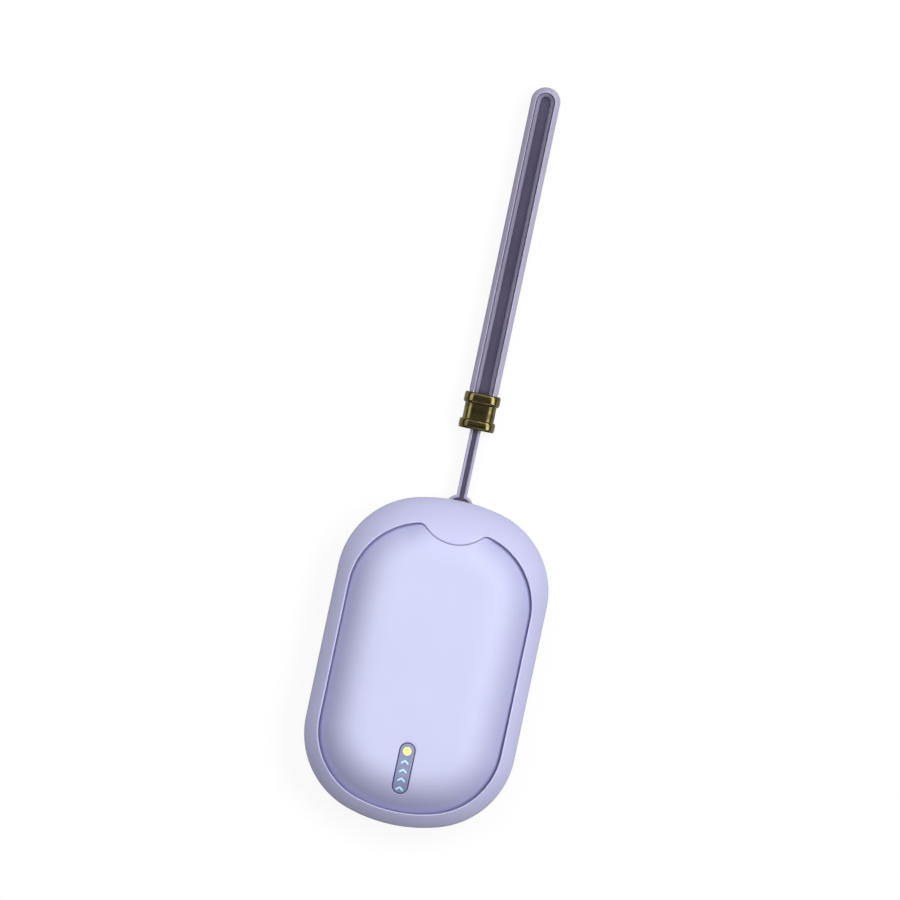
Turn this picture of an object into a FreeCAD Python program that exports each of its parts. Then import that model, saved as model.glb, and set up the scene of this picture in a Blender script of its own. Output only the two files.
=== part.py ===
import FreeCAD, Part
import math
import os
from types import SimpleNamespace

import Sketcher

# Rechargeable hand warmer lying on its back: +Z is the front face, +Y points to the wrist lanyard.
# The origin is on the table, under the middle of the case. All lengths are millimetres.

SIZES = {
    # Case outline and section
    "case_width": 60.0,
    "case_length": 93.2,
    "case_corner_side": 6.0,
    "case_crown_top": 50.0,
    "case_crown_bottom": 44.0,
    "case_wall": 1.8,
    "floor_thickness": 1.8,
    "back_edge_radius": 4.0,
    "edge_roll": 2.5,
    "edge_drop": 0.6,
    "dome_margin": 6.0,
    "dome_overshoot": 0.06,
    # Front cover, its thumb notch and its seat in the frame
    "rim_side": 4.0,
    "rim_bottom": 3.9,
    "cover_corner_side": 5.0,
    "cover_top_gap": 7.95,
    "cover_crown_bottom": 40.0,
    "cover_wall": 1.7,
    "cover_edge_roll": 1.9,
    "cover_gap": 0.15,
    "notch_radius": 11.55,
    "notch_depth": 12.65,
    "notch_peak_radius": 2.1,
    "ledge_gap": 0.6,
    "ledge_thickness": 1.4,
    "ledge_width": 1.5,
    # Power key and its lights
    "key_width": 4.6,
    "key_length": 14.7,
    "key_from_bottom": 16.2,
    "key_clearance": 0.3,
    "key_travel": 0.3,
    "key_flange_lip": 0.9,
    "key_flange_thickness": 0.9,
    "key_nose_length": 0.35,
    "key_rise": 6.4,
    "key_tab_width": 3.6,
    "key_tab_reach": 5.6,
    "dot_radius": 1.25,
    "dot_offset": 4.9,
    "chevron_width": 2.1,
    "chevron_rise": 0.7,
    "chevron_stroke": 0.55,
    "chevron_first": 1.75,
    "chevron_pitch": 2.53,
    "light_fit": 0.02,
    # Circuit board, port and switch
    "board_width": 30.0,
    "board_end_gap": 9.6,
    "board_length": 20.0,
    "board_thickness": 1.2,
    "board_tongue_width": 13.0,
    "board_tongue_gap": 3.6,
    "board_post_radius": 2.0,
    "board_post_margin": 2.8,
    "board_post_pitch": 12.0,
    "port_width": 8.94,
    "port_thickness": 3.26,
    "port_depth": 7.35,
    "port_wall": 0.3,
    "port_setback": 0.6,
    "port_lip": 1.14,
    "port_clearance": 0.16,
    "port_tongue_width": 6.7,
    "port_tongue_thickness": 0.7,
    "port_tongue_depth": 5.2,
    "switch_side": 3.4,
    "switch_height": 1.5,
    "plunger_radius": 0.8,
    "plunger_height": 0.6,
    "plunger_sink": 0.7,
    "plunger_clearance": 0.06,
    "nose_gap": 0.05,
    "led_side": 1.2,
    "led_height": 0.5,
    "shield_wall": 0.7,
    "shield_height": 1.8,
    "header_width": 5.0,
    "header_gap": 0.5,
    "header_depth": 3.6,
    "header_height": 2.6,
    # Cells, heaters and foam
    "cell_width": 38.0,
    "cell_corner": 2.0,
    "cell_board_gap": 3.0,
    "cell_end_gap": 18.6,
    "tape_thickness": 0.2,
    "rear_foam_thickness": 1.2,
    "front_foam_thickness": 2.0,
    "film_thickness": 0.25,
    "plate_thickness": 0.8,
    "rear_plate_width": 42.0,
    "front_plate_width": 26.0,
    "front_plate_gap": 3.0,
    "thermal_pad_width": 15.0,
    "plate_corner": 3.0,
    "guard_thickness": 1.0,
    "guard_height": 3.6,
    "lead_radius": 0.5,
    "lead_bend": 1.6,
    # Screws
    "screw_inset": 4.4,
    "screw_boss_radius": 2.4,
    "screw_shank_radius": 0.85,
    "screw_hole_clearance": 0.1,
    "screw_head_radius": 1.6,
    "screw_head_height": 1.2,
    "screw_head_sink": 0.3,
    "screw_grip": 3.4,
    # Lanyard
    "lanyard_height": 4.3,
    "neck_width": 3.0,
    "neck_visible": 20.4,
    "neck_depth": 3.6,
    "neck_band": 0.85,
    "neck_lining": 0.6,
    "neck_flare": 1.5,
    "neck_tail": 3.4,
    "recess_clearance": 0.3,
    "recess_mouth": 5.6,
    "recess_block": 9.5,
    "recess_back_wall": 2.2,
    "pin_inset": 2.4,
    "pin_barrel_radius": 2.4,
    "pin_end_radius": 0.9,
    "pin_end_depth": 1.0,
    "pin_fit": 0.03,
    "eye_clearance": 0.08,
    "ferrule_flange_width": 10.3,
    "ferrule_flange_height": 8.4,
    "ferrule_flange_corner": 3.0,
    "ferrule_lower_flange": 2.8,
    "ferrule_waist": 4.5,
    "ferrule_waist_width": 9.0,
    "ferrule_waist_height": 7.1,
    "ferrule_waist_corner": 2.4,
    "ferrule_upper_flange": 3.1,
    "ferrule_edge": 0.45,
    "ferrule_fit": 0.05,
    "loop_width": 8.3,
    "loop_length": 88.2,
    "loop_depth": 8.0,
    "loop_band": 1.4,
    "loop_lining": 1.4,
    "loop_web": 5.6,
    "loop_tail": 6.2,
    "loop_tail_depth": 5.2,
    "loop_tail_band": 0.7,
    "band_edge": 0.35,
}


class Size:
    """A length with its number and the sheet formula that gives it."""

    def __init__(self, number, text):
        self.number = number
        self.text = text

    def __add__(self, other):
        other = as_size(other)
        return Size(self.number + other.number, f"({self.text} + {other.text})")

    def __radd__(self, other):
        return as_size(other) + self

    def __sub__(self, other):
        other = as_size(other)
        return Size(self.number - other.number, f"({self.text} - {other.text})")

    def __rsub__(self, other):
        return as_size(other) - self

    def __mul__(self, other):
        other = as_size(other)
        return Size(self.number * other.number, f"({self.text} * {other.text})")

    def __rmul__(self, other):
        return as_size(other) * self

    def __truediv__(self, other):
        other = as_size(other)
        return Size(self.number / other.number, f"({self.text} / {other.text})")

    def __neg__(self):
        return Size(-self.number, f"(0 - {self.text})")


def as_size(value):
    if isinstance(value, Size):
        return value
    return Size(float(value), repr(float(value)))


def root(value):
    return Size(math.sqrt(value.number), f"sqrt({value.text})")


def squared(value):
    return value * value


def make_sheet(document):
    sheet = document.addObject("Spreadsheet::Sheet", "Sizes")
    for row, (alias, number) in enumerate(SIZES.items(), start=1):
        sheet.set(f"A{row}", alias)
        sheet.set(f"B{row}", str(number))
        sheet.setAlias(f"B{row}", alias)
    document.recompute()
    return SimpleNamespace(**{alias: Size(sheet.get(alias), f"Sizes.{alias}") for alias in SIZES})


doc = FreeCAD.newDocument("HandWarmer")
dim = make_sheet(doc)

# Places that several pieces share
half_width = dim.case_width / 2
half_length = dim.case_length / 2
case_corner = half_width - dim.case_corner_side
cover_side = half_width - dim.rim_side
cover_corner = cover_side - dim.cover_corner_side
# Heights, from the table up: lanyard recess, port, board, switch, key and crown
parting_height = dim.lanyard_height + dim.neck_depth / 2 + dim.recess_clearance
recess_floor = dim.lanyard_height - dim.neck_depth / 2 - dim.recess_clearance
board_underside = parting_height + dim.port_lip + dim.port_thickness
board_top = board_underside + dim.board_thickness
ledge_height = board_top + dim.ledge_gap
ledge_underside = ledge_height - dim.ledge_thickness
edge_height = ledge_height - dim.edge_drop
plunger_top = board_top + dim.switch_height + dim.plunger_height
key_nose = plunger_top + dim.nose_gap
key_flange_bottom = key_nose + dim.key_nose_length
key_flange_top = key_flange_bottom + dim.key_flange_thickness
crown_height = key_flange_top + dim.key_rise
dome_apex = crown_height + dim.dome_overshoot
dome_rise = dome_apex - edge_height
dome_reach = case_corner - dim.dome_margin
dome_radius = (squared(dome_reach) + squared(dome_rise)) / (2 * dome_rise)
dome_centre = dome_apex - dome_radius
cover_ceiling = crown_height - dim.cover_wall
# The cells fill the height that plates, films and foam leave, and the length above the board
rear_plate_top = dim.floor_thickness + dim.plate_thickness
rear_film_top = rear_plate_top + dim.film_thickness
lower_cell_bottom = rear_film_top + dim.rear_foam_thickness
front_plate_top = cover_ceiling - dim.plate_thickness
front_plate_bottom = front_plate_top - dim.plate_thickness
front_film_bottom = front_plate_bottom - dim.film_thickness
upper_cell_top = front_film_bottom - dim.front_foam_thickness
cell_thickness = (upper_cell_top - lower_cell_bottom - dim.tape_thickness) / 2
lower_cell_top = lower_cell_bottom + cell_thickness
upper_cell_bottom = lower_cell_top + dim.tape_thickness
key_y = dim.key_from_bottom - half_length
switch_y = key_y + dim.key_length / 2 + dim.key_tab_reach / 2
board_lower = dim.board_end_gap - half_length
board_upper = board_lower + dim.board_length
post_side = dim.board_width / 2 - dim.board_post_margin
cell_lower = board_upper + dim.cell_board_gap
cell_upper = half_length - dim.cell_end_gap
front_plate_end = cell_upper - dim.front_plate_gap
lead_pitch = dim.lead_radius * 4
bead_x = -4.1 * lead_pitch
pin_y = half_length - dim.pin_inset
eye_radius = dim.pin_barrel_radius + dim.eye_clearance
recess_radius = eye_radius + dim.neck_lining + dim.neck_band + dim.recess_clearance
ferrule_y = half_length + dim.neck_visible
ferrule_waist_y = ferrule_y + dim.ferrule_lower_flange
ferrule_upper_y = ferrule_waist_y + dim.ferrule_waist
loop_y = ferrule_upper_y + dim.ferrule_upper_flange
half_turn = math.sqrt(0.5)


def bind(thing, path, value):
    thing.setExpression(path, as_size(value).text)


def new_body(label):
    body = doc.addObject("PartDesign::Body", label)
    body.Label = label
    return body


def sketch_on(body, role, offset=0):
    """A sketch on one of the body's own origin planes, moved along the plane's normal."""
    sketch = body.newObject("Sketcher::SketchObject", body.Label + "_sketch")
    planes = [item for item in body.Origin.OriginFeatures if item.Role == role]
    sketch.AttachmentSupport = (planes[0], "")
    sketch.MapMode = "FlatFace"
    bind(sketch, "AttachmentOffset.Base.z", offset)
    return sketch


def level_sketch(body, height):
    return sketch_on(body, "XY_Plane", height)


def cross_sketch(body, y):
    """A sketch across the length: its own axes are X and Z, and its normal is -Y."""
    return sketch_on(body, "XZ_Plane", -as_size(y))


def arc_between(start, end, bend):
    radius, turn, wide = bend
    chord = end - start
    half = chord.Length / 2
    left = FreeCAD.Vector(-chord.y, chord.x, 0).normalize()
    reach = math.sqrt(max(radius.number**2 - half**2, 0.0))
    side = -turn if wide else turn
    centre = (start + end) * 0.5 + left * (reach * side)
    first, last = (start, end) if turn > 0 else (end, start)
    angles = [math.atan2(point.y - centre.y, point.x - centre.x) for point in (first, last)]
    circle = Part.Circle(centre, FreeCAD.Vector(0, 0, 1), radius.number)
    return Part.ArcOfCircle(circle, angles[0], angles[1])


def place_point(sketch, index, position, x, y):
    """Ties one point of a sketch to its two coordinates."""
    for value, kind, axis in ((x, "DistanceX", -2), (y, "DistanceY", -1)):
        value = as_size(value)
        if value.text == "0.0":
            sketch.addConstraint(Sketcher.Constraint("PointOnObject", index, position, axis))
            continue
        rule = sketch.addConstraint(Sketcher.Constraint(kind, -1, 1, index, position, value.number))
        bind(sketch, f"Constraints[{rule}]", value)


def outline(sketch, corners):
    """Draws a closed outline through corners (x, y, bend).

    The bend belongs to the side that leaves the corner: None for a straight side, or
    (radius, turn, wide), with turn 1 for anticlockwise and -1 for clockwise, and wide for an
    arc of more than half a circle.
    """
    points = [FreeCAD.Vector(as_size(x).number, as_size(y).number, 0) for x, y, _ in corners]
    ends = []
    for place, (x, y, bend) in enumerate(corners):
        start = points[place]
        end = points[(place + 1) % len(points)]
        if bend is None:
            index = sketch.addGeometry(Part.LineSegment(start, end))
        else:
            index = sketch.addGeometry(arc_between(start, end, bend))
        forward = bend is None or bend[1] > 0
        ends.append((index, 1 if forward else 2, 2 if forward else 1))
    for place, (x, y, bend) in enumerate(corners):
        index, start, end = ends[place]
        following = ends[(place + 1) % len(ends)]
        sketch.addConstraint(Sketcher.Constraint("Coincident", index, end, following[0], following[1]))
        place_point(sketch, index, start, x, y)
        if bend is not None:
            rule = sketch.addConstraint(Sketcher.Constraint("Radius", index, bend[0].number))
            bind(sketch, f"Constraints[{rule}]", bend[0])


def circle(sketch, x, y, radius):
    shape = Part.Circle()
    shape.Center = FreeCAD.Vector(as_size(x).number, as_size(y).number, 0)
    shape.Radius = radius.number
    index = sketch.addGeometry(shape)
    rule = sketch.addConstraint(Sketcher.Constraint("Radius", index, radius.number))
    bind(sketch, f"Constraints[{rule}]", radius)
    place_point(sketch, index, 3, x, y)


def box_corners(x_low, x_high, y_low, y_high):
    return [
        (x_low, y_low, None),
        (x_high, y_low, None),
        (x_high, y_high, None),
        (x_low, y_high, None),
    ]


def rounded_corners(x_low, x_high, y_low, y_high, radius):
    bend = (as_size(radius), 1, False)
    return [
        (x_low + radius, y_low, None),
        (x_high - radius, y_low, bend),
        (x_high, y_low + radius, None),
        (x_high, y_high - radius, bend),
        (x_high - radius, y_high, None),
        (x_low + radius, y_high, bend),
        (x_low, y_high - radius, None),
        (x_low, y_low + radius, bend),
    ]


def pill_corners(y, width, length):
    """A pill along the sketch's second axis, centred on it at y."""
    radius = width / 2
    straight = length / 2 - radius
    bend = (radius, 1, False)
    return [
        (radius, y - straight, None),
        (radius, y + straight, bend),
        (0, y + straight + radius, bend),
        (-radius, y + straight, None),
        (-radius, y - straight, bend),
        (0, y - straight - radius, bend),
    ]


def crown_tangent(side, corner, crown):
    """Where a corner arc meets the crown arc: across from the middle, and down from the crown's top,
    then how far the corner arc's centre lies below that top."""
    across = side - corner
    between = crown - corner
    upright = root(squared(between) - squared(across))
    return crown * across / between, crown - crown * upright / between, crown - upright


def case_corners(inset=0):
    """The case's plan outline, moved inwards by inset, from the middle of its right side."""
    side = half_width - inset
    corner = case_corner - inset
    top_crown = dim.case_crown_top - inset
    bottom_crown = dim.case_crown_bottom - inset
    top = half_length - inset
    top_x, top_drop, top_side = crown_tangent(side, corner, top_crown)
    bottom_x, bottom_drop, bottom_side = crown_tangent(side, corner, bottom_crown)
    turn = (corner, 1, False)
    return [
        (side, 0, None),
        (side, top - top_side, turn),
        (top_x, top - top_drop, (top_crown, 1, False)),
        (-top_x, top - top_drop, turn),
        (-side, top - top_side, None),
        (-side, bottom_side - top, turn),
        (-bottom_x, bottom_drop - top, (bottom_crown, 1, False)),
        (bottom_x, bottom_drop - top, turn),
        (side, bottom_side - top, None),
    ]


def cover_corners(inset=0):
    """The front cover's plan outline with its thumb notch, moved inwards by inset."""
    side = cover_side - inset
    corner = cover_corner - inset
    bottom_crown = dim.cover_crown_bottom - inset
    bottom = half_length - dim.rim_bottom - inset
    notch = dim.notch_radius + inset
    notch_y = half_length - dim.notch_depth + dim.notch_radius
    corner_x = dim.cover_corner_side
    corner_y = half_length - dim.cover_top_gap - cover_corner
    # The rounded peak touches the corner arc from inside and the notch arc from outside
    corner_reach = cover_corner - dim.notch_peak_radius
    notch_reach = dim.notch_radius + dim.notch_peak_radius
    rise = notch_y - corner_y
    spacing = root(squared(corner_x) + squared(rise))
    along = (squared(corner_reach) - squared(notch_reach) + squared(spacing)) / (2 * spacing)
    across = root(squared(corner_reach) - squared(along))
    peak_x = corner_x - (along * corner_x - across * rise) / spacing
    peak_y = corner_y + (along * rise + across * corner_x) / spacing
    corner_share = corner / corner_reach
    notch_share = notch / notch_reach
    corner_touch_x = corner_x + (peak_x - corner_x) * corner_share
    corner_touch_y = corner_y + (peak_y - corner_y) * corner_share
    notch_touch_x = peak_x * notch_share
    notch_touch_y = notch_y + (peak_y - notch_y) * notch_share
    bottom_x, bottom_drop, bottom_side = crown_tangent(side, corner, bottom_crown)
    turn = (corner, 1, False)
    crest = (dim.notch_peak_radius - inset, 1, False)
    return [
        (side, corner_y, turn),
        (corner_touch_x, corner_touch_y, crest),
        (notch_touch_x, notch_touch_y, (notch, -1, False)),
        (-notch_touch_x, notch_touch_y, crest),
        (-corner_touch_x, corner_touch_y, turn),
        (-side, corner_y, None),
        (-side, bottom_side - bottom, turn),
        (-bottom_x, bottom_drop - bottom, (bottom_crown, 1, False)),
        (bottom_x, bottom_drop - bottom, turn),
        (side, bottom_side - bottom, None),
    ]


def pad(body, sketch, length):
    feature = body.newObject("PartDesign::Pad", body.Label + "_pad")
    feature.Profile = sketch
    bind(feature, "Length", length)
    doc.recompute()
    return feature


def pocket(body, sketch, length, upwards=False):
    """Cuts the sketch into the body, against the sketch's normal or, upwards, along it."""
    before = body.Shape.Volume
    feature = body.newObject("PartDesign::Pocket", body.Label + "_pocket")
    feature.Profile = sketch
    feature.Reversed = upwards
    bind(feature, "Length", length)
    doc.recompute()
    if body.Shape.Volume > before - 1e-6:
        raise RuntimeError(f"{feature.Name} cuts nothing")
    return feature


def fillet(body, feature, edges, radius):
    rounding = body.newObject("PartDesign::Fillet", body.Label + "_fillet")
    rounding.Base = (feature, edges)
    bind(rounding, "Radius", radius)
    doc.recompute()
    return rounding


def edges_where(shape, test):
    """Names of the edges whose whole length passes the test."""
    names = []
    for number, edge in enumerate(shape.Edges, start=1):
        spots = [edge.valueAt(edge.ParameterRange[0]), edge.valueAt(edge.ParameterRange[1])]
        spots.append(edge.valueAt(sum(edge.ParameterRange) / 2))
        if all(test(spot) for spot in spots):
            names.append(f"Edge{number}")
    return names


def near(value, size, slack=1e-4):
    return abs(value - as_size(size).number) < slack


def slab(label, corners, low, high):
    """A flat piece: an outline between two heights."""
    body = new_body(label)
    sketch = level_sketch(body, low)
    outline(sketch, corners)
    pad(body, sketch, high - low)
    return body


def block(label, x_low, x_high, y_low, y_high, low, high):
    piece = doc.addObject("Part::Box", label)
    piece.Label = label
    for side, start, end in (("Length", x_low, x_high), ("Width", y_low, y_high), ("Height", low, high)):
        bind(piece, side, as_size(end) - start)
    for axis, start in (("x", x_low), ("y", y_low), ("z", low)):
        bind(piece, f"Placement.Base.{axis}", start)
    return piece


def rod(label, x, y, low, high, radius):
    piece = doc.addObject("Part::Cylinder", label)
    piece.Label = label
    bind(piece, "Radius", radius)
    bind(piece, "Height", as_size(high) - low)
    for axis, start in (("x", x), ("y", y), ("z", low)):
        bind(piece, f"Placement.Base.{axis}", start)
    return piece


def cut(label, base, tool):
    piece = doc.addObject("Part::Cut", label)
    piece.Label = label
    piece.Base = base
    piece.Tool = tool
    doc.recompute()
    if piece.Shape.Volume > base.Shape.Volume - 1e-6:
        raise RuntimeError(f"{label} cuts nothing")
    return piece


def group(label, pieces):
    """Like pieces that share one node."""
    bundle = doc.addObject("Part::Compound", label)
    bundle.Label = label
    bundle.Links = pieces
    doc.recompute()
    return bundle


def fuse(label, pieces):
    joined = doc.addObject("Part::MultiFuse", label)
    joined.Label = label
    joined.Shapes = pieces
    doc.recompute()
    return joined


def dome_cut(body, wall=0):
    """Takes away what lies above the domed front: an arc from the case's edge up to the flat crown,
    carried round the case's outline. With a wall it follows the dome's inner surface instead."""
    path = level_sketch(body, 0)
    outline(path, case_corners())
    radius = dome_radius - wall
    start_x = half_width - wall
    start_z = dome_centre + root(squared(radius) - squared(dome_reach - wall))
    inner_x = half_width - dome_reach
    outer_x = half_width + dim.case_wall
    roof = crown_height + dim.case_wall
    section = cross_sketch(body, 0)
    corners = [
        (start_x, start_z, None),
        (outer_x, start_z, None),
        (outer_x, roof, None),
        (inner_x, roof, None),
        (inner_x, dome_centre + radius, (radius, -1, False)),
    ]
    outline(section, corners)
    doc.recompute()
    ring = body.newObject("PartDesign::SubtractivePipe", body.Label + "_dome")
    ring.Profile = section
    ring.Spine = (path, [f"Edge{number}" for number in range(1, len(path.Shape.Edges) + 1)])
    doc.recompute()
    return ring


def screw_spots():
    """The four case screws, on the corner arcs at half a right angle."""
    turn = (case_corner - dim.screw_inset) * half_turn
    side = dim.case_corner_side + turn
    spots = []
    for crown, way in ((dim.case_crown_top, 1), (dim.case_crown_bottom, -1)):
        centre_drop = crown_tangent(half_width, case_corner, crown)[2]
        along = (half_length - centre_drop + turn) * way
        spots += [(side, along), (-side, along)]
    return spots


def post_spots():
    """The four board posts."""
    middle = (board_lower + board_upper) / 2
    rows = (middle - dim.board_post_pitch / 2, middle + dim.board_post_pitch / 2)
    return [(post_side * way, along) for along in rows for way in (1, -1)]


def recess_block_corners():
    """The solid block round the lanyard recess, which ends inside the case's wall."""
    side = dim.recess_block
    back = pin_y - recess_radius - dim.recess_back_wall
    return box_corners(-side, side, back, half_length - dim.case_wall)


def make_rear_shell():
    body = new_body("rear_shell")
    sketch = level_sketch(body, 0)
    outline(sketch, case_corners())
    base = pad(body, sketch, parting_height)
    bottom = edges_where(body.Shape, lambda spot: near(spot.z, 0))
    fillet(body, base, bottom, dim.back_edge_radius)
    sketch = level_sketch(body, parting_height)
    outline(sketch, case_corners(dim.case_wall))
    pocket(body, sketch, parting_height - dim.floor_thickness)
    # Block for the lanyard recess, screw bosses and board posts
    sketch = level_sketch(body, dim.floor_thickness)
    outline(sketch, recess_block_corners())
    pad(body, sketch, parting_height - dim.floor_thickness)
    sketch = level_sketch(body, dim.floor_thickness)
    for x, y in screw_spots():
        circle(sketch, x, y, dim.screw_boss_radius)
    pad(body, sketch, parting_height - dim.floor_thickness)
    sketch = level_sketch(body, dim.floor_thickness)
    for x, y in post_spots():
        circle(sketch, x, y, dim.board_post_radius)
    pad(body, sketch, board_underside - dim.floor_thickness)
    # Recess: round behind the eye, widening to the outside so that the lanyard can swing
    reach = recess_radius
    outside = half_length + dim.case_wall
    sketch = level_sketch(body, parting_height)
    corners = [
        (-reach, pin_y, (reach, 1, False)),
        (0, pin_y - reach, (reach, 1, False)),
        (reach, pin_y, None),
        (dim.recess_mouth, half_length, None),
        (dim.recess_mouth, outside, None),
        (-dim.recess_mouth, outside, None),
        (-dim.recess_mouth, half_length, None),
    ]
    outline(sketch, corners)
    pocket(body, sketch, parting_height - recess_floor)
    sketch = level_sketch(body, recess_floor)
    circle(sketch, 0, pin_y, dim.pin_end_radius + dim.pin_fit)
    pocket(body, sketch, dim.pin_end_depth)
    # Screw holes with sunk heads, and pilot holes in the posts
    sketch = level_sketch(body, parting_height)
    for x, y in screw_spots():
        circle(sketch, x, y, dim.screw_shank_radius + dim.screw_hole_clearance)
    pocket(body, sketch, parting_height)
    sketch = level_sketch(body, dim.screw_head_sink + dim.screw_head_height)
    for x, y in screw_spots():
        circle(sketch, x, y, dim.screw_head_radius + dim.screw_hole_clearance)
    pocket(body, sketch, dim.screw_head_sink + dim.screw_head_height)
    sketch = level_sketch(body, board_underside)
    for x, y in post_spots():
        circle(sketch, x, y, dim.screw_shank_radius + dim.screw_hole_clearance)
    pocket(body, sketch, dim.screw_grip)
    return body


def make_front_frame():
    body = new_body("front_frame")
    sketch = level_sketch(body, parting_height)
    outline(sketch, case_corners())
    pad(body, sketch, crown_height - parting_height)
    sketch = level_sketch(body, parting_height)
    outline(sketch, case_corners(dim.case_wall))
    pocket(body, sketch, ledge_underside - parting_height, upwards=True)
    sketch = level_sketch(body, crown_height)
    outline(sketch, cover_corners(dim.ledge_width))
    pocket(body, sketch, crown_height - parting_height)
    sketch = level_sketch(body, crown_height)
    outline(sketch, cover_corners(-dim.cover_gap))
    pocket(body, sketch, crown_height - ledge_height)
    # Roof of the lanyard recess, and screw bosses
    sketch = level_sketch(body, parting_height)
    outline(sketch, recess_block_corners())
    pad(body, sketch, ledge_underside - parting_height)
    sketch = level_sketch(body, parting_height)
    for x, y in screw_spots():
        circle(sketch, x, y, dim.screw_boss_radius)
    pad(body, sketch, ledge_underside - parting_height)
    sketch = level_sketch(body, parting_height)
    circle(sketch, 0, pin_y, dim.pin_end_radius + dim.pin_fit)
    pocket(body, sketch, dim.pin_end_depth, upwards=True)
    sketch = level_sketch(body, parting_height)
    for x, y in screw_spots():
        circle(sketch, x, y, dim.screw_shank_radius + dim.screw_hole_clearance)
    pocket(body, sketch, dim.screw_grip, upwards=True)
    # Charging port through the lower end, and room in the ledge for the board's tongue
    middle = board_underside - dim.port_thickness / 2
    width = dim.port_width + 2 * dim.port_clearance
    height = dim.port_thickness + 2 * dim.port_clearance
    corner = height / 2 - dim.port_wall
    low = middle - height / 2
    sketch = cross_sketch(body, -half_length - dim.case_wall)
    outline(sketch, rounded_corners(-width / 2, width / 2, low, low + height, corner))
    pocket(body, sketch, 3 * dim.case_wall)
    relief = (dim.board_tongue_width + dim.case_wall) / 2
    sketch = level_sketch(body, ledge_underside)
    outline(sketch, box_corners(-relief, relief, dim.case_wall - half_length, board_lower))
    pocket(body, sketch, board_top + dim.cover_gap - ledge_underside, upwards=True)
    domed = dome_cut(body)
    edge = edges_where(body.Shape, lambda spot: near(spot.z, edge_height) and on_case_edge(spot))
    fillet(body, domed, edge, dim.edge_roll)


def on_case_edge(spot):
    """Whether a spot lies outside the case's wall."""
    inside = half_width.number - dim.case_wall.number
    return math.hypot(spot.x, spot.y) > inside - 0.1


def make_front_cover():
    pillow = slab("cover_pillow", cover_corners(), ledge_height, crown_height)
    domed = dome_cut(pillow)
    fillet(pillow, domed, rim_edges(pillow.Shape), dim.cover_edge_roll)
    floor = ledge_height - dim.cover_wall
    hollow = slab("cover_hollow", cover_corners(dim.cover_wall), floor, cover_ceiling)
    dome_cut(hollow, dim.cover_wall)
    shell = cut("cover_shell", pillow, hollow)
    shape = pill_corners(key_y, dim.key_width, dim.key_length)
    aperture = slab("key_aperture", shape, ledge_height, crown_height + dim.cover_wall)
    cut("front_cover", shell, aperture)


def rim_edges(shape):
    """Names of the edges where the cover's upright wall meets its dome."""
    names = []
    for number, edge in enumerate(shape.Edges, start=1):
        spot = edge.valueAt(sum(edge.ParameterRange) / 2)
        upright = []
        for face in shape.ancestorsOfType(edge, Part.Face):
            across, along = face.Surface.parameter(spot)
            upright.append(abs(face.normalAt(across, along).z) < 0.01)
        if sorted(upright) == [False, True] and spot.z > ledge_height.number + 0.5:
            names.append(f"Edge{number}")
    return names


def chevron_corners(y, grow):
    """An arrowhead that points to +Y, with arms of even width, made larger all round by grow."""
    half = dim.chevron_width / 2 + grow
    rise = dim.chevron_rise
    stroke = dim.chevron_stroke + 2 * grow
    low = y - (rise + dim.chevron_stroke) / 2 - grow
    return [
        (-half, low, None),
        (0, low + rise, None),
        (half, low, None),
        (half, low + stroke, None),
        (0, low + rise + stroke, None),
        (-half, low + stroke, None),
    ]


def chevron_places():
    return [key_y + dim.chevron_first - dim.chevron_pitch * step for step in range(4)]


def make_key():
    width = dim.key_width - 2 * dim.key_clearance
    length = dim.key_length - 2 * dim.key_clearance
    body = new_body("power_key")
    sketch = level_sketch(body, key_flange_bottom)
    outline(sketch, pill_corners(key_y, width, length))
    pad(body, sketch, crown_height - key_flange_bottom)
    sketch = level_sketch(body, key_flange_bottom)
    lip = 2 * dim.key_flange_lip
    outline(sketch, pill_corners(key_y, dim.key_width + lip, dim.key_length + lip))
    pad(body, sketch, dim.key_flange_thickness)
    # Tab with the nose that presses the switch
    sketch = level_sketch(body, key_flange_bottom)
    tab_top = key_y + dim.key_length / 2 + dim.key_tab_reach
    outline(sketch, box_corners(-dim.key_tab_width / 2, dim.key_tab_width / 2, key_y, tab_top))
    pad(body, sketch, dim.key_flange_thickness)
    sketch = level_sketch(body, key_nose)
    circle(sketch, 0, switch_y, dim.plunger_radius)
    pad(body, sketch, dim.key_nose_length)
    # Ways for the light pipes
    sketch = level_sketch(body, crown_height)
    circle(sketch, 0, key_y + dim.dot_offset, dim.dot_radius + dim.light_fit)
    for place in chevron_places():
        outline(sketch, chevron_corners(place, dim.light_fit))
    pocket(body, sketch, crown_height - key_flange_bottom)
    dome_cut(body)
    body = new_body("key_dot_light_pipe")
    sketch = level_sketch(body, key_flange_bottom)
    circle(sketch, 0, key_y + dim.dot_offset, dim.dot_radius)
    pad(body, sketch, crown_height - key_flange_bottom)
    dome_cut(body)
    pipes = []
    for number, place in enumerate(chevron_places(), start=1):
        corners = chevron_corners(place, as_size(0))
        pipe = slab(f"chevron_pipe_{number}", corners, key_flange_bottom, crown_height)
        dome_cut(pipe)
        pipes.append(pipe)
    group("key_chevron_light_pipes", pipes)


def make_board():
    body = new_body("main_board")
    side = dim.board_width / 2
    tongue = dim.board_tongue_width / 2
    lower = dim.board_tongue_gap - half_length
    sketch = level_sketch(body, board_underside)
    corners = [
        (-tongue, lower, None),
        (tongue, lower, None),
        (tongue, board_lower, None),
        (side, board_lower, None),
        (side, board_upper, None),
        (-side, board_upper, None),
        (-side, board_lower, None),
        (-tongue, board_lower, None),
    ]
    outline(sketch, corners)
    for x, y in post_spots():
        circle(sketch, x, y, dim.screw_shank_radius + dim.screw_hole_clearance)
    pad(body, sketch, dim.board_thickness)


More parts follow.
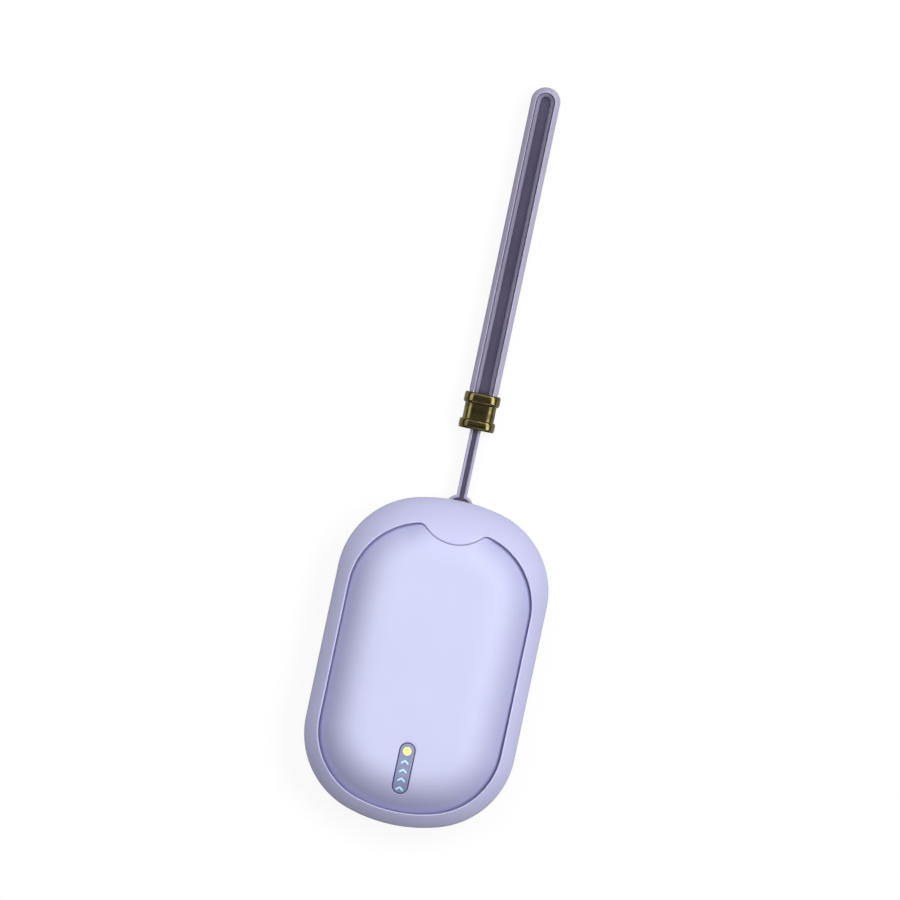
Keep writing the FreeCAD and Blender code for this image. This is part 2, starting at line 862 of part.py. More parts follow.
def make_port():
    low = board_underside - dim.port_thickness
    outer = dim.port_width / 2
    corner = dim.port_thickness / 2 - dim.port_wall
    mouth = dim.port_setback - half_length
    back = mouth + dim.port_depth
    body = new_body("usb_c_shell")
    sketch = cross_sketch(body, back)
    outline(sketch, rounded_corners(-outer, outer, low, board_underside, corner))
    pad(body, sketch, dim.port_depth)
    inner = outer - dim.port_wall
    sketch = cross_sketch(body, mouth)
    ceiling = board_underside - dim.port_wall
    outline(sketch, rounded_corners(-inner, inner, low + dim.port_wall, ceiling, corner - dim.port_wall))
    pocket(body, sketch, dim.port_depth - dim.port_wall)
    middle = board_underside - dim.port_thickness / 2
    half = dim.port_tongue_width / 2
    rear = back - dim.port_wall
    thick = dim.port_tongue_thickness / 2
    block("usb_c_tongue", -half, half, rear - dim.port_tongue_depth, rear, middle - thick, middle + thick)


def make_switch():
    half = dim.switch_side / 2
    top = board_top + dim.switch_height
    housing = block("switch_housing", -half, half, switch_y - half, switch_y + half, board_top, top)
    bottom = top - dim.plunger_sink - dim.key_travel
    well = rod("switch_well", 0, switch_y, bottom, top, dim.plunger_radius + dim.plunger_clearance)
    cut("switch_body", housing, well)
    rod("switch_plunger", 0, switch_y, top - dim.plunger_sink, plunger_top, dim.plunger_radius)


def make_lights():
    half = dim.led_side / 2
    lamp = board_top + dim.led_height
    y = key_y + dim.dot_offset
    block("status_led", -half, half, y - half, y + half, board_top, lamp)
    leds = []
    for number, place in enumerate(chevron_places(), start=1):
        leds.append(block(f"level_led_{number}", -half, half, place - half, place + half, board_top, lamp))
    group("level_leds", leds)
    # Opaque comb that keeps each light to its own pipe
    body = new_body("light_shield")
    well = half + dim.shield_wall / 2
    side = well + dim.shield_wall
    sketch = level_sketch(body, board_top)
    last = chevron_places()[-1]
    outline(sketch, box_corners(-side, side, last - side, y + side))
    for place in [y] + chevron_places():
        outline(sketch, box_corners(-well, well, place - well, place + well))
    pad(body, sketch, dim.shield_height)


def make_cells():
    half = dim.cell_width / 2
    places = {"battery_cell_lower": lower_cell_bottom, "battery_cell_upper": upper_cell_bottom}
    for label, low in places.items():
        corners = rounded_corners(-half, half, cell_lower, cell_upper, dim.cell_corner)
        body = slab(label, corners, low, low + cell_thickness)
        rims = edges_where(body.Shape, lambda spot: near(spot.z, low))
        rims += edges_where(body.Shape, lambda spot: near(spot.z, low + cell_thickness))
        fillet(body, body.Tip, rims, dim.cell_corner / 2)
    inner = half - dim.cell_corner
    low_y = cell_lower + dim.cell_corner
    high_y = cell_upper - dim.cell_corner
    block("cell_tape", -inner, inner, low_y, high_y, lower_cell_top, upper_cell_bottom)
    block("rear_foam", -inner, inner, low_y, high_y, rear_film_top, lower_cell_bottom)
    foam = dim.front_plate_width / 2
    foam_start = cell_lower + dim.plate_corner
    block("front_foam", -foam, foam, foam_start, front_plate_end, upper_cell_top, front_film_bottom)
    guard = half - dim.cell_corner
    middle = (lower_cell_bottom + lower_cell_top) / 2
    block(
        "protection_board",
        -guard,
        guard,
        cell_lower - dim.guard_thickness - dim.cover_gap,
        cell_lower - dim.cover_gap,
        middle - dim.guard_height / 2,
        middle + dim.guard_height / 2,
    )


def make_heaters():
    half = dim.rear_plate_width / 2
    front = dim.front_plate_width / 2
    corner = dim.plate_corner
    corners = rounded_corners(-half, half, cell_lower, cell_upper, corner)
    slab("rear_heat_plate", corners, dim.floor_thickness, rear_plate_top)
    film = half - corner / 2
    corners = rounded_corners(-film, film, cell_lower, cell_upper, corner)
    slab("rear_heater_film", corners, rear_plate_top, rear_film_top)
    end = front_plate_end
    corners = rounded_corners(-front, front, cell_lower, end, corner)
    slab("front_heat_plate", corners, front_plate_bottom, front_plate_top)
    film_start = cell_lower + corner
    corners = rounded_corners(-front, front, film_start, end, corner)
    slab("front_heater_film", corners, front_film_bottom, front_plate_bottom)
    pad_half = dim.thermal_pad_width / 2
    corners = rounded_corners(-pad_half, pad_half, cell_lower, end, corner)
    slab("thermal_pad", corners, front_plate_top, cover_ceiling)
    bead = dim.lead_radius * 2
    bead_end = film_start - dim.cover_gap
    low = front_plate_bottom - bead
    block("thermistor", bead_x - bead, bead_x + bead, cell_lower, bead_end, low, front_plate_bottom)


def lead(label, x, points):
    """A round wire in a plane across X: straight runs through points (y, z), joined by one arc of the
    bend radius where the wire turns a right angle."""
    body = new_body(label)
    path = sketch_on(body, "YZ_Plane", x)
    (start_y, start_z), (turn_y, turn_z), (end_y, end_z) = points
    bend = dim.lead_bend
    rising = near(start_y.number, turn_y)
    way_in = 1 if (turn_z.number > start_z.number if rising else turn_y.number > start_y.number) else -1
    way_out = 1 if (end_y.number > turn_y.number if rising else end_z.number > turn_z.number) else -1
    if rising:
        arc_start = (turn_y, turn_z - bend * way_in)
        arc_end = (turn_y + bend * way_out, turn_z)
        turn = -way_in * way_out
    else:
        arc_start = (turn_y - bend * way_in, turn_z)
        arc_end = (turn_y, turn_z + bend * way_out)
        turn = way_in * way_out
    spots = [points[0], arc_start, arc_end, points[2]]
    vectors = [FreeCAD.Vector(a.number, b.number, 0) for a, b in spots]
    first = path.addGeometry(Part.LineSegment(vectors[0], vectors[1]))
    bow = path.addGeometry(arc_between(vectors[1], vectors[2], (bend, turn, False)))
    last = path.addGeometry(Part.LineSegment(vectors[2], vectors[3]))
    bow_start, bow_end = (1, 2) if turn > 0 else (2, 1)
    path.addConstraint(Sketcher.Constraint("Coincident", first, 2, bow, bow_start))
    path.addConstraint(Sketcher.Constraint("Coincident", bow, bow_end, last, 1))
    rule = path.addConstraint(Sketcher.Constraint("Radius", bow, bend.number))
    bind(path, f"Constraints[{rule}]", bend)
    for side, near_spot, far_spot in ((first, spots[0], spots[1]), (last, spots[2], spots[3])):
        place_point(path, side, 1, near_spot[0], near_spot[1])
        place_point(path, side, 2, far_spot[0], far_spot[1])
    if rising:
        section = level_sketch(body, start_z)
        circle(section, x, start_y, dim.lead_radius)
    else:
        section = cross_sketch(body, start_y)
        circle(section, x, start_z, dim.lead_radius)
    doc.recompute()
    wire = body.newObject("PartDesign::AdditivePipe", label + "_wire")
    wire.Profile = section
    wire.Spine = (path, [f"Edge{number}" for number in range(1, len(path.Shape.Edges) + 1)])
    doc.recompute()
    return body


def make_leads():
    header_front = board_upper - dim.cover_gap
    half = dim.header_width / 2
    header_x = dim.switch_side / 2 + dim.header_gap + half
    top = board_top + dim.header_height
    back = header_front - dim.header_depth
    block("lead_header", header_x - half, header_x + half, back, header_front, board_top, top)
    pitch = dim.header_width / 3
    middle = board_top + dim.header_height / 2
    guard_top = (lower_cell_bottom + lower_cell_top) / 2 + dim.guard_height / 2
    guard_y = cell_lower - dim.cover_gap - dim.guard_thickness / 2
    run = [(guard_y, guard_top), (guard_y, middle), (header_front, middle)]
    lead("battery_lead_red", header_x - pitch / 2, run)
    lead("battery_lead_black", header_x + pitch / 2, run)
    drop_y = board_upper - dim.lead_radius * 3
    front_z = front_film_bottom - dim.lead_radius
    rear_z = rear_plate_top + dim.film_thickness + dim.lead_radius
    film_start = cell_lower + dim.plate_corner
    fronts = []
    rears = []
    for number, step in ((1, 2), (2, 3)):
        side = -lead_pitch * step
        front_run = [(film_start, front_z), (drop_y, front_z), (drop_y, board_top)]
        fronts.append(lead(f"front_heater_lead_{number}", side, front_run))
        rear_run = [(cell_lower, rear_z), (drop_y, rear_z), (drop_y, board_underside)]
        rears.append(lead(f"rear_heater_lead_{number}", side, rear_run))
    group("front_heater_leads", fronts)
    group("rear_heater_leads", rears)
    bead_z = front_plate_bottom - dim.lead_radius
    pair = []
    for number, way in ((1, -1), (2, 1)):
        run = [(cell_lower, bead_z), (drop_y, bead_z), (drop_y, board_top)]
        pair.append(lead(f"thermistor_lead_{number}", bead_x + dim.lead_radius * 1.2 * way, run))
    group("thermistor_leads", pair)


def make_chips():
    chips = []
    side = dim.switch_side / 2
    x = -(post_side - dim.board_post_radius * 2)
    for number, step in enumerate((0, 1, 2)):
        y = board_lower + dim.board_post_radius * 2 + side + step * dim.switch_side * 1.25
        top = board_top + dim.led_height * 2
        chips.append(block(f"chip_{number + 1}", x - side, x + side, y - side, y + side, board_top, top))
    group("board_chips", chips)
    y = board_lower + dim.board_post_radius * 2 + side
    rod("power_inductor", -x, y, board_top, board_top + dim.switch_height, side * 1.2)


def screw_set(label, spots, head_low, shank_low, shank_high):
    """Pan-head screws at the same height: each a head and a shank."""
    screws = []
    for number, (x, y) in enumerate(spots, start=1):
        head_top = head_low + dim.screw_head_height
        head = rod(f"{label}_head_{number}", x, y, head_low, head_top, dim.screw_head_radius)
        shank = rod(f"{label}_shank_{number}", x, y, shank_low, shank_high, dim.screw_shank_radius)
        screws.append(fuse(f"{label}_{number}", [head, shank]))
    group(label, screws)


def make_screws():
    seat = dim.screw_head_sink + dim.screw_head_height
    reach = parting_height + dim.screw_grip - dim.screw_hole_clearance
    screw_set("case_screws", screw_spots(), dim.screw_head_sink, seat, reach)
    deep = board_underside - dim.screw_grip + dim.screw_hole_clearance
    screw_set("board_screws", post_spots(), board_top, deep, board_top)


def make_pin():
    low = recess_floor - dim.pin_end_depth
    body = new_body("lanyard_pin")
    sketch = level_sketch(body, low)
    circle(sketch, 0, pin_y, dim.pin_end_radius)
    pad(body, sketch, parting_height + dim.pin_end_depth - low)
    sketch = level_sketch(body, recess_floor + dim.pin_fit)
    circle(sketch, 0, pin_y, dim.pin_barrel_radius)
    pad(body, sketch, parting_height - recess_floor - 2 * dim.pin_fit)


def make_neck_layer(label, outer_leg, outer_eye, thickness, solid):
    """One layer of the neck strap: two legs side by side that part round the pin as an eye. A solid
    layer fills the space between its legs too, and keeps only the eye."""
    body = new_body(label)
    inner_leg = outer_leg - thickness
    inner_eye = outer_eye - thickness
    flare = dim.neck_flare + dim.neck_width / 2 - outer_leg
    inner_flare = flare + thickness
    flare_x = outer_leg + flare
    flare_y = root(squared(outer_eye + flare) - squared(flare_x))
    end = ferrule_y + dim.neck_tail
    rise = pin_y + flare_y
    touch = outer_eye / (outer_eye + flare)
    inner_touch = inner_eye / (inner_eye + inner_flare)
    out_x = flare_x * touch
    out_y = pin_y + flare_y * touch
    in_x = flare_x * inner_touch
    in_y = pin_y + flare_y * inner_touch
    sketch = level_sketch(body, dim.lanyard_height - dim.neck_depth / 2)
    outside = [
        (-outer_leg, end, None),
        (-outer_leg, rise, (flare, -1, False)),
        (-out_x, out_y, (outer_eye, 1, True)),
        (out_x, out_y, (flare, -1, False)),
        (outer_leg, rise, None),
        (outer_leg, end, None),
    ]
    inside = [
        (inner_leg, end, None),
        (inner_leg, rise, (inner_flare, 1, False)),
        (in_x, in_y, (inner_eye, -1, True)),
        (-in_x, in_y, (inner_flare, 1, False)),
        (-inner_leg, rise, None),
        (-inner_leg, end, None),
    ]
    if solid:
        outline(sketch, outside)
        circle(sketch, 0, pin_y, inner_eye)
    else:
        outline(sketch, outside + inside)
    pad(body, sketch, dim.neck_depth)
    return body


def make_ferrule():
    body = new_body("ferrule")
    flange = (dim.ferrule_flange_width / 2, dim.ferrule_flange_height / 2, dim.ferrule_flange_corner)
    waist = (dim.ferrule_waist_width / 2, dim.ferrule_waist_height / 2, dim.ferrule_waist_corner)
    runs = (
        (ferrule_waist_y, dim.ferrule_lower_flange, flange),
        (ferrule_upper_y, dim.ferrule_waist, waist),
        (loop_y, dim.ferrule_upper_flange, flange),
    )
    middle = dim.lanyard_height
    for end, length, (side, rise, corner) in runs:
        sketch = cross_sketch(body, end)
        outline(sketch, rounded_corners(-side, side, middle - rise, middle + rise, corner))
        feature = pad(body, sketch, length)
    edge_places = (ferrule_y, ferrule_waist_y, ferrule_upper_y, loop_y)

    def on_rim(spot):
        """Whether a spot lies on the rim of a flange's end face, outside the waist."""
        wide = abs(spot.x) > waist[0].number + 0.01
        tall = abs(spot.z - middle.number) > waist[1].number + 0.01
        return any(near(spot.y, place) for place in edge_places) and (wide or tall)

    fillet(body, feature, edges_where(body.Shape, on_rim), dim.ferrule_edge)
    # Bores: wide for the loop's tails, narrow for the neck's
    fit = dim.ferrule_fit
    wide = dim.loop_width / 2 - dim.loop_band + dim.loop_tail_band + fit
    tall = dim.loop_tail_depth / 2 + fit
    sketch = cross_sketch(body, loop_y - dim.loop_tail - fit)
    outline(sketch, box_corners(-wide, wide, middle - tall, middle + tall))
    pocket(body, sketch, dim.loop_tail + fit)
    wide = dim.neck_width / 2 + fit
    tall = dim.neck_depth / 2 + fit
    sketch = cross_sketch(body, ferrule_y)
    outline(sketch, box_corners(-wide, wide, middle - tall, middle + tall))
    pocket(body, sketch, dim.ferrule_lower_flange + dim.ferrule_waist)


def make_loop_layer(label, outer, thickness, tail_thickness):
    """One layer of the wrist loop: two straight legs joined by a half circle, with tails that are
    lower where they go into the ferrule. The outer layer's tails are thinner too."""
    body = new_body(label)
    inner = outer - thickness
    centre = loop_y + dim.loop_length - dim.loop_width / 2
    low = dim.lanyard_height - dim.loop_depth / 2
    around = (outer, 1, False)
    inside = (inner, -1, False)
    sketch = level_sketch(body, low)
    corners = [
        (inner, loop_y, None),
        (outer, loop_y, None),
        (outer, centre, around),
        (0, centre + outer, around),
        (-outer, centre, None),
        (-outer, loop_y, None),
        (-inner, loop_y, None),
        (-inner, centre, inside),
        (0, centre + inner, inside),
        (inner, centre, None),
    ]
    outline(sketch, corners)
    base = pad(body, sketch, dim.loop_depth)
    if tail_thickness is not thickness:
        fillet(body, base, loop_rims(body.Shape, outer, centre), dim.band_edge)
    else:
        # A web joins the lining's two legs, and leaves a groove between them along the front
        sketch = level_sketch(body, low)
        corners = [
            (inner, loop_y, None),
            (inner, centre, (inner, 1, False)),
            (0, centre + inner, (inner, 1, False)),
            (-inner, centre, None),
            (-inner, loop_y, None),
        ]
        outline(sketch, corners)
        pad(body, sketch, dim.loop_web)
    tail = dim.loop_tail_depth / 2
    sketch = level_sketch(body, dim.lanyard_height - tail)
    for way in (1, -1):
        far = (inner + tail_thickness) * way
        outline(sketch, box_corners(inner * way, far, loop_y - dim.loop_tail, loop_y + thickness))
    pad(body, sketch, dim.loop_tail_depth)
    return body


def loop_rims(shape, outer, centre):
    """Names of the long edges along the outside of the loop."""
    names = []
    for name in edges_where(shape, lambda spot: on_loop(spot, outer, centre)):
        if shape.getElement(name).BoundBox.ZLength < dim.loop_depth.number / 2:
            names.append(name)
    return names


def on_loop(spot, outer, centre):
    return math.hypot(spot.x, max(spot.y - centre.number, 0)) > outer.number - 0.01


def make_lanyard():
    make_pin()
    leg = dim.neck_width / 2
    eye = eye_radius + dim.neck_lining + dim.neck_band
    make_neck_layer("neck_band", leg, eye, dim.neck_band, False)
    make_neck_layer("neck_lining", leg - dim.neck_band, eye - dim.neck_band, dim.neck_lining, True)
    make_ferrule()
    outer = dim.loop_width / 2
    make_loop_layer("loop_band", outer, dim.loop_band, dim.loop_tail_band)
    make_loop_layer("loop_lining", outer - dim.loop_band, dim.loop_lining, dim.loop_lining)
    half = outer - dim.loop_band - dim.loop_lining
    tail = dim.loop_tail_depth / 2
    low = loop_y - dim.loop_tail
    block("ferrule_wedge", -half, half, low, loop_y, dim.lanyard_height - tail, dim.lanyard_height + tail)


make_rear_shell()
make_front_frame()
make_front_cover()
make_key()
make_board()
make_port()
make_switch()
make_lights()
make_cells()
make_heaters()
make_leads()
make_chips()
make_screws()
make_lanyard()
doc.recompute()

NODES = [
    "front_cover",
    "front_frame",
    "rear_shell",
    "power_key",
    "key_dot_light_pipe",
    "key_chevron_light_pipes",
    "main_board",
    "board_chips",
    "power_inductor",
    "usb_c_shell",
    "usb_c_tongue",
    "switch_body",
    "switch_plunger",
    "status_led",
    "level_leds",
    "light_shield",
    "battery_cell_lower",
    "battery_cell_upper",
    "cell_tape",
    "rear_foam",
    "front_foam",
    "protection_board",
    "rear_heat_plate",
    "front_heat_plate",
    "rear_heater_film",
    "front_heater_film",
    "thermal_pad",
    "thermistor",
    "lead_header",
    "battery_lead_red",
    "battery_lead_black",
    "front_heater_leads",
    "rear_heater_leads",
    "thermistor_leads",
    "case_screws",
    "board_screws",
    "lanyard_pin",
    "neck_band",
    "neck_lining",
    "ferrule",
    "ferrule_wedge",
    "loop_band",
    "loop_lining",
]

for item in doc.Objects:
    if "Invalid" in item.State or "Error" in item.State:
        raise RuntimeError(f"{item.Name} failed: {item.State}")

os.makedirs("parts", exist_ok=True)
for node in NODES:
    piece = doc.getObjectsByLabel(node)[0]
    shape = piece.Shape
    if shape.isNull() or not shape.isValid():
        raise RuntimeError(f"{node} has no valid shape")
    shape.exportStep(f"parts/{node}.step")
    print(f"{node}: {len(shape.Solids)} solids, {shape.Volume:.1f} cubic mm")
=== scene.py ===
import math
import bpy
import numpy as np
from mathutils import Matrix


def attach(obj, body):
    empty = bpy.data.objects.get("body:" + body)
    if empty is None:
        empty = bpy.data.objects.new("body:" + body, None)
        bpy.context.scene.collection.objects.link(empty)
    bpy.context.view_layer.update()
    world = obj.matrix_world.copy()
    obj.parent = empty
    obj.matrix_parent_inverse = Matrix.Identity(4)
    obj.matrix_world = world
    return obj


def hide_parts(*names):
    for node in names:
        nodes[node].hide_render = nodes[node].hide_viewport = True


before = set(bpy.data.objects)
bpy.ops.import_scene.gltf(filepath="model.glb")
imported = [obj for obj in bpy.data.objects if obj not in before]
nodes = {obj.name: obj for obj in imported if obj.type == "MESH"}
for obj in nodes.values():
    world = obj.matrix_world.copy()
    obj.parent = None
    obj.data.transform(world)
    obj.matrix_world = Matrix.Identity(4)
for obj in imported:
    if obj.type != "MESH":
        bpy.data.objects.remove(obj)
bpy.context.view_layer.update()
scene = bpy.context.scene
mm = 0.001
print("frame loaded,", len(nodes), "nodes")


# mesh helpers

def putMesh(name, points, faces, material, smooth=True):
    # points in metres as an (n, 3) array, faces as a list of index lists
    mesh = bpy.data.meshes.new(name)
    mesh.from_pydata(points.tolist(), [], faces)
    mesh.polygons.foreach_set("use_smooth", np.full(len(faces), smooth))
    mesh.materials.append(material)
    mesh.update()
    piece = bpy.data.objects.new(name, mesh)
    scene.collection.objects.link(piece)
    return piece


def gridFaces(rows, cols, closeRows, closeCols):
    # quads between neighbouring rows and columns of a grid, wrapped round where it closes
    r = np.arange(rows if closeRows else rows - 1)
    c = np.arange(cols if closeCols else cols - 1)
    r, c = np.meshgrid(r, c, indexing="ij")
    down = (r + 1) % rows
    right = (c + 1) % cols
    quads = np.stack([r * cols + c, r * cols + right, down * cols + right, down * cols + c], -1)
    return quads.reshape(-1, 4)


def enclosed(points, quads):
    # volume inside the quads, by the divergence theorem on two triangles each
    a, b, c, d = (points[quads[:, k]] for k in range(4))
    cross = np.cross(b - a, c - a) + np.cross(c - a, d - a)
    return float((a * cross).sum() / 6)


def putGrid(name, grid, material, closeRows=False, closeCols=True, caps=()):
    # grid in millimetres, shape (rows, cols, 3); caps lists the rows that get one closing face
    rows, cols = grid.shape[:2]
    points = grid.reshape(-1, 3) * mm
    quads = gridFaces(rows, cols, closeRows, closeCols)
    faces = quads.tolist()
    for row in caps:
        ring = (np.arange(cols) + row * cols).tolist()
        faces.append(ring if row else ring[::-1])
    if enclosed(points - points.mean(0), quads) < 0:
        faces = [face[::-1] for face in faces]
    return putMesh(name, points, faces, material)


def shadeRows(piece, cols, rows, material):
    # gives the faces of the listed rows of a grid a second, darker finish, used as painted shade in the
    # crease round the pad
    piece.data.materials.append(material)
    index = np.zeros(len(piece.data.polygons), int)
    index[(np.asarray(rows)[:, None] * cols + np.arange(cols)).ravel()] = 1
    piece.data.polygons.foreach_set("material_index", index)


def arcRun(centre, radius, start, end, count):
    # points on a circle from one angle to another, in degrees
    turn = np.radians(np.linspace(start, end, count))
    return np.stack([centre[0] + radius * np.cos(turn), centre[1] + radius * np.sin(turn)], -1)


def evenly(line, count):
    # the same closed line with its points spaced evenly along it
    ring = np.vstack([line, line[:1]])
    run = np.concatenate([[0], np.cumsum(np.hypot(*np.diff(ring, axis=0).T))])
    spots = np.linspace(0, run[-1], count, endpoint=False)
    return np.stack([np.interp(spots, run, ring[:, k]) for k in (0, 1)], -1)


def distanceTo(points, line):
    # shortest distance from each point to a closed line of points, a few thousand points at a time
    flat = points.reshape(-1, 2)
    ahead = np.roll(line, -1, axis=0) - line
    size = np.maximum((ahead**2).sum(1), 1e-12)
    near = []
    for part in np.array_split(flat, max(1, len(flat) // 1500)):
        gap = part[:, None, :] - line[None]
        share = np.clip((gap * ahead).sum(-1) / size, 0, 1)
        gap = gap - share[..., None] * ahead
        near.append(np.sqrt((gap**2).sum(-1).min(1)))
    return np.concatenate(near).reshape(points.shape[:-1])


def smoothStep(x):
    x = np.clip(x, 0, 1)
    return x * x * (3 - 2 * x)


# shape of the case, in millimetres, as the solids have it

case = {
    "halfWidth": 30.0,
    "halfLength": 46.6,
    "cornerSide": 6.0,
    "crownTop": 50.0,
    "crownBottom": 44.0,
    "edgeHeight": 12.0,
    "crown": 21.8,
    "reach": 18.0,
    "edgeRoll": 2.5,
    "parting": 6.4,
    "wall": 1.8,
}
case["rise"] = case["crown"] - case["edgeHeight"]
case["domeRadius"] = (case["reach"]**2 + case["rise"]**2) / (2 * case["rise"])
case["domeCentre"] = case["crown"] - case["domeRadius"]

pad = {
    "side": 26.0,
    "bottom": 42.7,
    "cornerSide": 5.0,
    "topGap": 7.95,
    "crownBottom": 40.0,
    "notchRadius": 11.55,
    "notchDepth": 12.65,
    "peakRadius": 2.1,
    "ledge": 12.6,
    "gap": 0.15,
    "inset": -0.06,
    "wall": 1.7,
    "rollWidth": 10.5,       # how far the falling edge reaches in at the sides
    "rollDepth": 2.1,        # how far it falls there
    "rollWidthLow": 14.0,    # and at the lower end
    "rollDepthLow": 3.2,
    "rollWidthTop": 11.0,    # and at the shoulders
    "rollDepthTop": 2.4,
    "rollDepthNotch": 0.1,   # and along the thumb notch
    "rollPower": 2.2,
    "edgeRound": 0.2,
}


def crownAngles(side, corner, crown):
    # where a corner arc hands over to the crown arc: its angle, and the corner centre's drop from the top
    upright = math.sqrt((crown - corner)**2 - (side - corner)**2)
    return math.degrees(math.atan2(upright, side - corner)), crown - upright


def caseLine(inset, count=900):
    # case outline moved inwards: four corner arcs, two crown arcs and two straight sides
    side, half, across = case["halfWidth"], case["halfLength"], case["cornerSide"]
    corner = side - across
    top, low = case["crownTop"], case["crownBottom"]
    topTurn, topDrop = crownAngles(side, corner, top)
    lowTurn, lowDrop = crownAngles(side, corner, low)
    r = corner - inset
    runs = [
        arcRun((across, half - topDrop), r, 0, topTurn, 90),
        arcRun((0, half - top), top - inset, topTurn, 180 - topTurn, 90),
        arcRun((-across, half - topDrop), r, 180 - topTurn, 180, 90),
        arcRun((-across, lowDrop - half), r, 180, 180 + lowTurn, 90),
        arcRun((0, low - half), low - inset, 180 + lowTurn, 360 - lowTurn, 90),
        arcRun((across, lowDrop - half), r, 360 - lowTurn, 360, 90),
    ]
    return evenly(np.vstack(runs), count)


def padLine(inset, count=900, notched=True):
    # pad outline moved inwards: corner arcs, the thumb notch between two rounded peaks, and the lower crown
    side, across = pad["side"], pad["cornerSide"]
    corner = side - across
    centre = np.array([across, case["halfLength"] - pad["topGap"] - corner])
    notch = np.array([0, case["halfLength"] - pad["notchDepth"] + pad["notchRadius"]])
    near, far = corner - pad["peakRadius"], pad["notchRadius"] + pad["peakRadius"]
    gap = notch - centre
    span = np.hypot(*gap)
    along = (near**2 - far**2 + span**2) / (2 * span)
    off = math.sqrt(near**2 - along**2)
    peak = centre + along * gap / span + off * np.array([gap[1], -gap[0]]) / span
    turnIn = math.degrees(math.atan2(*(peak - centre)[::-1]))
    turnOut = math.degrees(math.atan2(*(notch - peak)[::-1]))
    lowTurn, lowDrop = crownAngles(side, corner, pad["crownBottom"])
    low = lowDrop - pad["bottom"]
    crown = pad["crownBottom"]
    r, p, n = corner - inset, pad["peakRadius"] - inset, pad["notchRadius"] + inset
    flip = np.array([-1, 1])
    top = [
        arcRun(centre, r, 0, turnIn, 120),
        arcRun(peak, p, turnIn, turnOut, 40),
        arcRun(notch, n, turnOut - 180, -turnOut, 120),
        arcRun(peak * flip, p, 180 - turnOut, 180 - turnIn, 40),
        arcRun(centre * flip, r, 180 - turnIn, 180, 120),
    ]
    plain = [arcRun(centre, r, 0, 90, 160), arcRun(centre * flip, r, 90, 180, 160)]
    runs = [
        *(top if notched else plain),
        arcRun((-across, low), r, 180, 180 + lowTurn, 120),
        arcRun((0, crown - pad["bottom"]), crown - inset, 180 + lowTurn, 360 - lowTurn, 90),
        arcRun((across, low), r, 360 - lowTurn, 360, 120),
    ]
    return evenly(np.vstack(runs), count)


def domeHeight(inset):
    # height of the domed front at a distance in from the case's outline: one arc up to the flat crown
    fall = np.clip(case["reach"] - inset, 0, case["reach"])
    return case["domeCentre"] + np.sqrt(case["domeRadius"]**2 - fall**2)


caseEdge = caseLine(0, 420)
padEdge = padLine(0, 520)
padOval = padLine(0, 520, notched=False)
notchSpot = np.array([0, case["halfLength"] - pad["notchDepth"] + pad["notchRadius"]])


def byEnd(side, low, top, lowShare, topShare):
    # a value of the pad's sides, carried over to its values at the lower end and at the shoulders
    return side + (low - side) * lowShare + (top - side) * topShare


def padHeight(points):
    # dome less a falling edge: a power of the distance from the plain oval, less of it at the notch
    inset = distanceTo(points, caseEdge)
    low = smoothStep((-6 - points[..., 1]) / 36)
    top = smoothStep((points[..., 1] - 8) / 24)
    fromNotch = np.hypot(points[..., 0], points[..., 1] - notchSpot[1]) - pad["notchRadius"]
    close = smoothStep(1 - fromNotch / 12) * smoothStep((13.5 - np.abs(points[..., 0])) / 9)
    width = byEnd(pad["rollWidth"], pad["rollWidthLow"], pad["rollWidthTop"], low, top)
    depth = byEnd(pad["rollDepth"], pad["rollDepthLow"], pad["rollDepthTop"], low, top)
    depth = depth + (pad["rollDepthNotch"] - depth) * close
    away = np.clip(1 - distanceTo(points, padOval) / width, 0, 1)
    rim = np.clip(1 - distanceTo(points, padEdge) / pad["edgeRound"], 0, 1)
    corner = pad["edgeRound"] * (1 - np.sqrt(1 - rim**2))
    return domeHeight(inset) - depth * away**pad["rollPower"] - corner


# materials

def addGroup(name, inputs, outputs):
    group = bpy.data.node_groups.new(name, "ShaderNodeTree")
    for label, kind, value in inputs:
        socket = group.interface.new_socket(label, in_out="INPUT", socket_type=kind)
        if value is not None:
            socket.default_value = value
    for label, kind in outputs:
        group.interface.new_socket(label, in_out="OUTPUT", socket_type=kind)
    start = group.nodes.new("NodeGroupInput")
    end = group.nodes.new("NodeGroupOutput")
    return group, start.outputs, end.inputs


def noiseNode(tree, vector, scale, detail=3.0, rough=0.5):
    node = tree.nodes.new("ShaderNodeTexNoise")
    node.inputs["Detail"].default_value = detail
    node.inputs["Roughness"].default_value = rough
    tree.links.new(vector, node.inputs["Vector"])
    if isinstance(scale, (int, float)):
        node.inputs["Scale"].default_value = scale
    else:
        tree.links.new(scale, node.inputs["Scale"])
    return node.outputs["Fac"]


def mathNode(tree, action, first, second):
    node = tree.nodes.new("ShaderNodeMath")
    node.operation = action
    for socket, value in zip(node.inputs, (first, second)):
        if isinstance(value, (int, float)):
            socket.default_value = value
        else:
            tree.links.new(value, socket)
    return node.outputs[0]


def mixColour(tree, share, first, second):
    node = tree.nodes.new("ShaderNodeMix")
    node.data_type = "RGBA"
    for socket, value in ((node.inputs[0], share), (node.inputs[6], first), (node.inputs[7], second)):
        if isinstance(value, (int, float, tuple)):
            socket.default_value = value
        else:
            tree.links.new(value, socket)
    return node.outputs[2]


def mapRange(tree, value, low, high, newLow, newHigh):
    node = tree.nodes.new("ShaderNodeMapRange")
    tree.links.new(value, node.inputs["Value"])
    for label, number in (("From Min", low), ("From Max", high), ("To Min", newLow), ("To Max", newHigh)):
        if isinstance(number, (int, float)):
            node.inputs[label].default_value = number
        else:
            tree.links.new(number, node.inputs[label])
    return node.outputs["Result"]


finishOutputs = [
    ("Colour", "NodeSocketColor"),
    ("Roughness", "NodeSocketFloat"),
    ("Height", "NodeSocketFloat"),
]

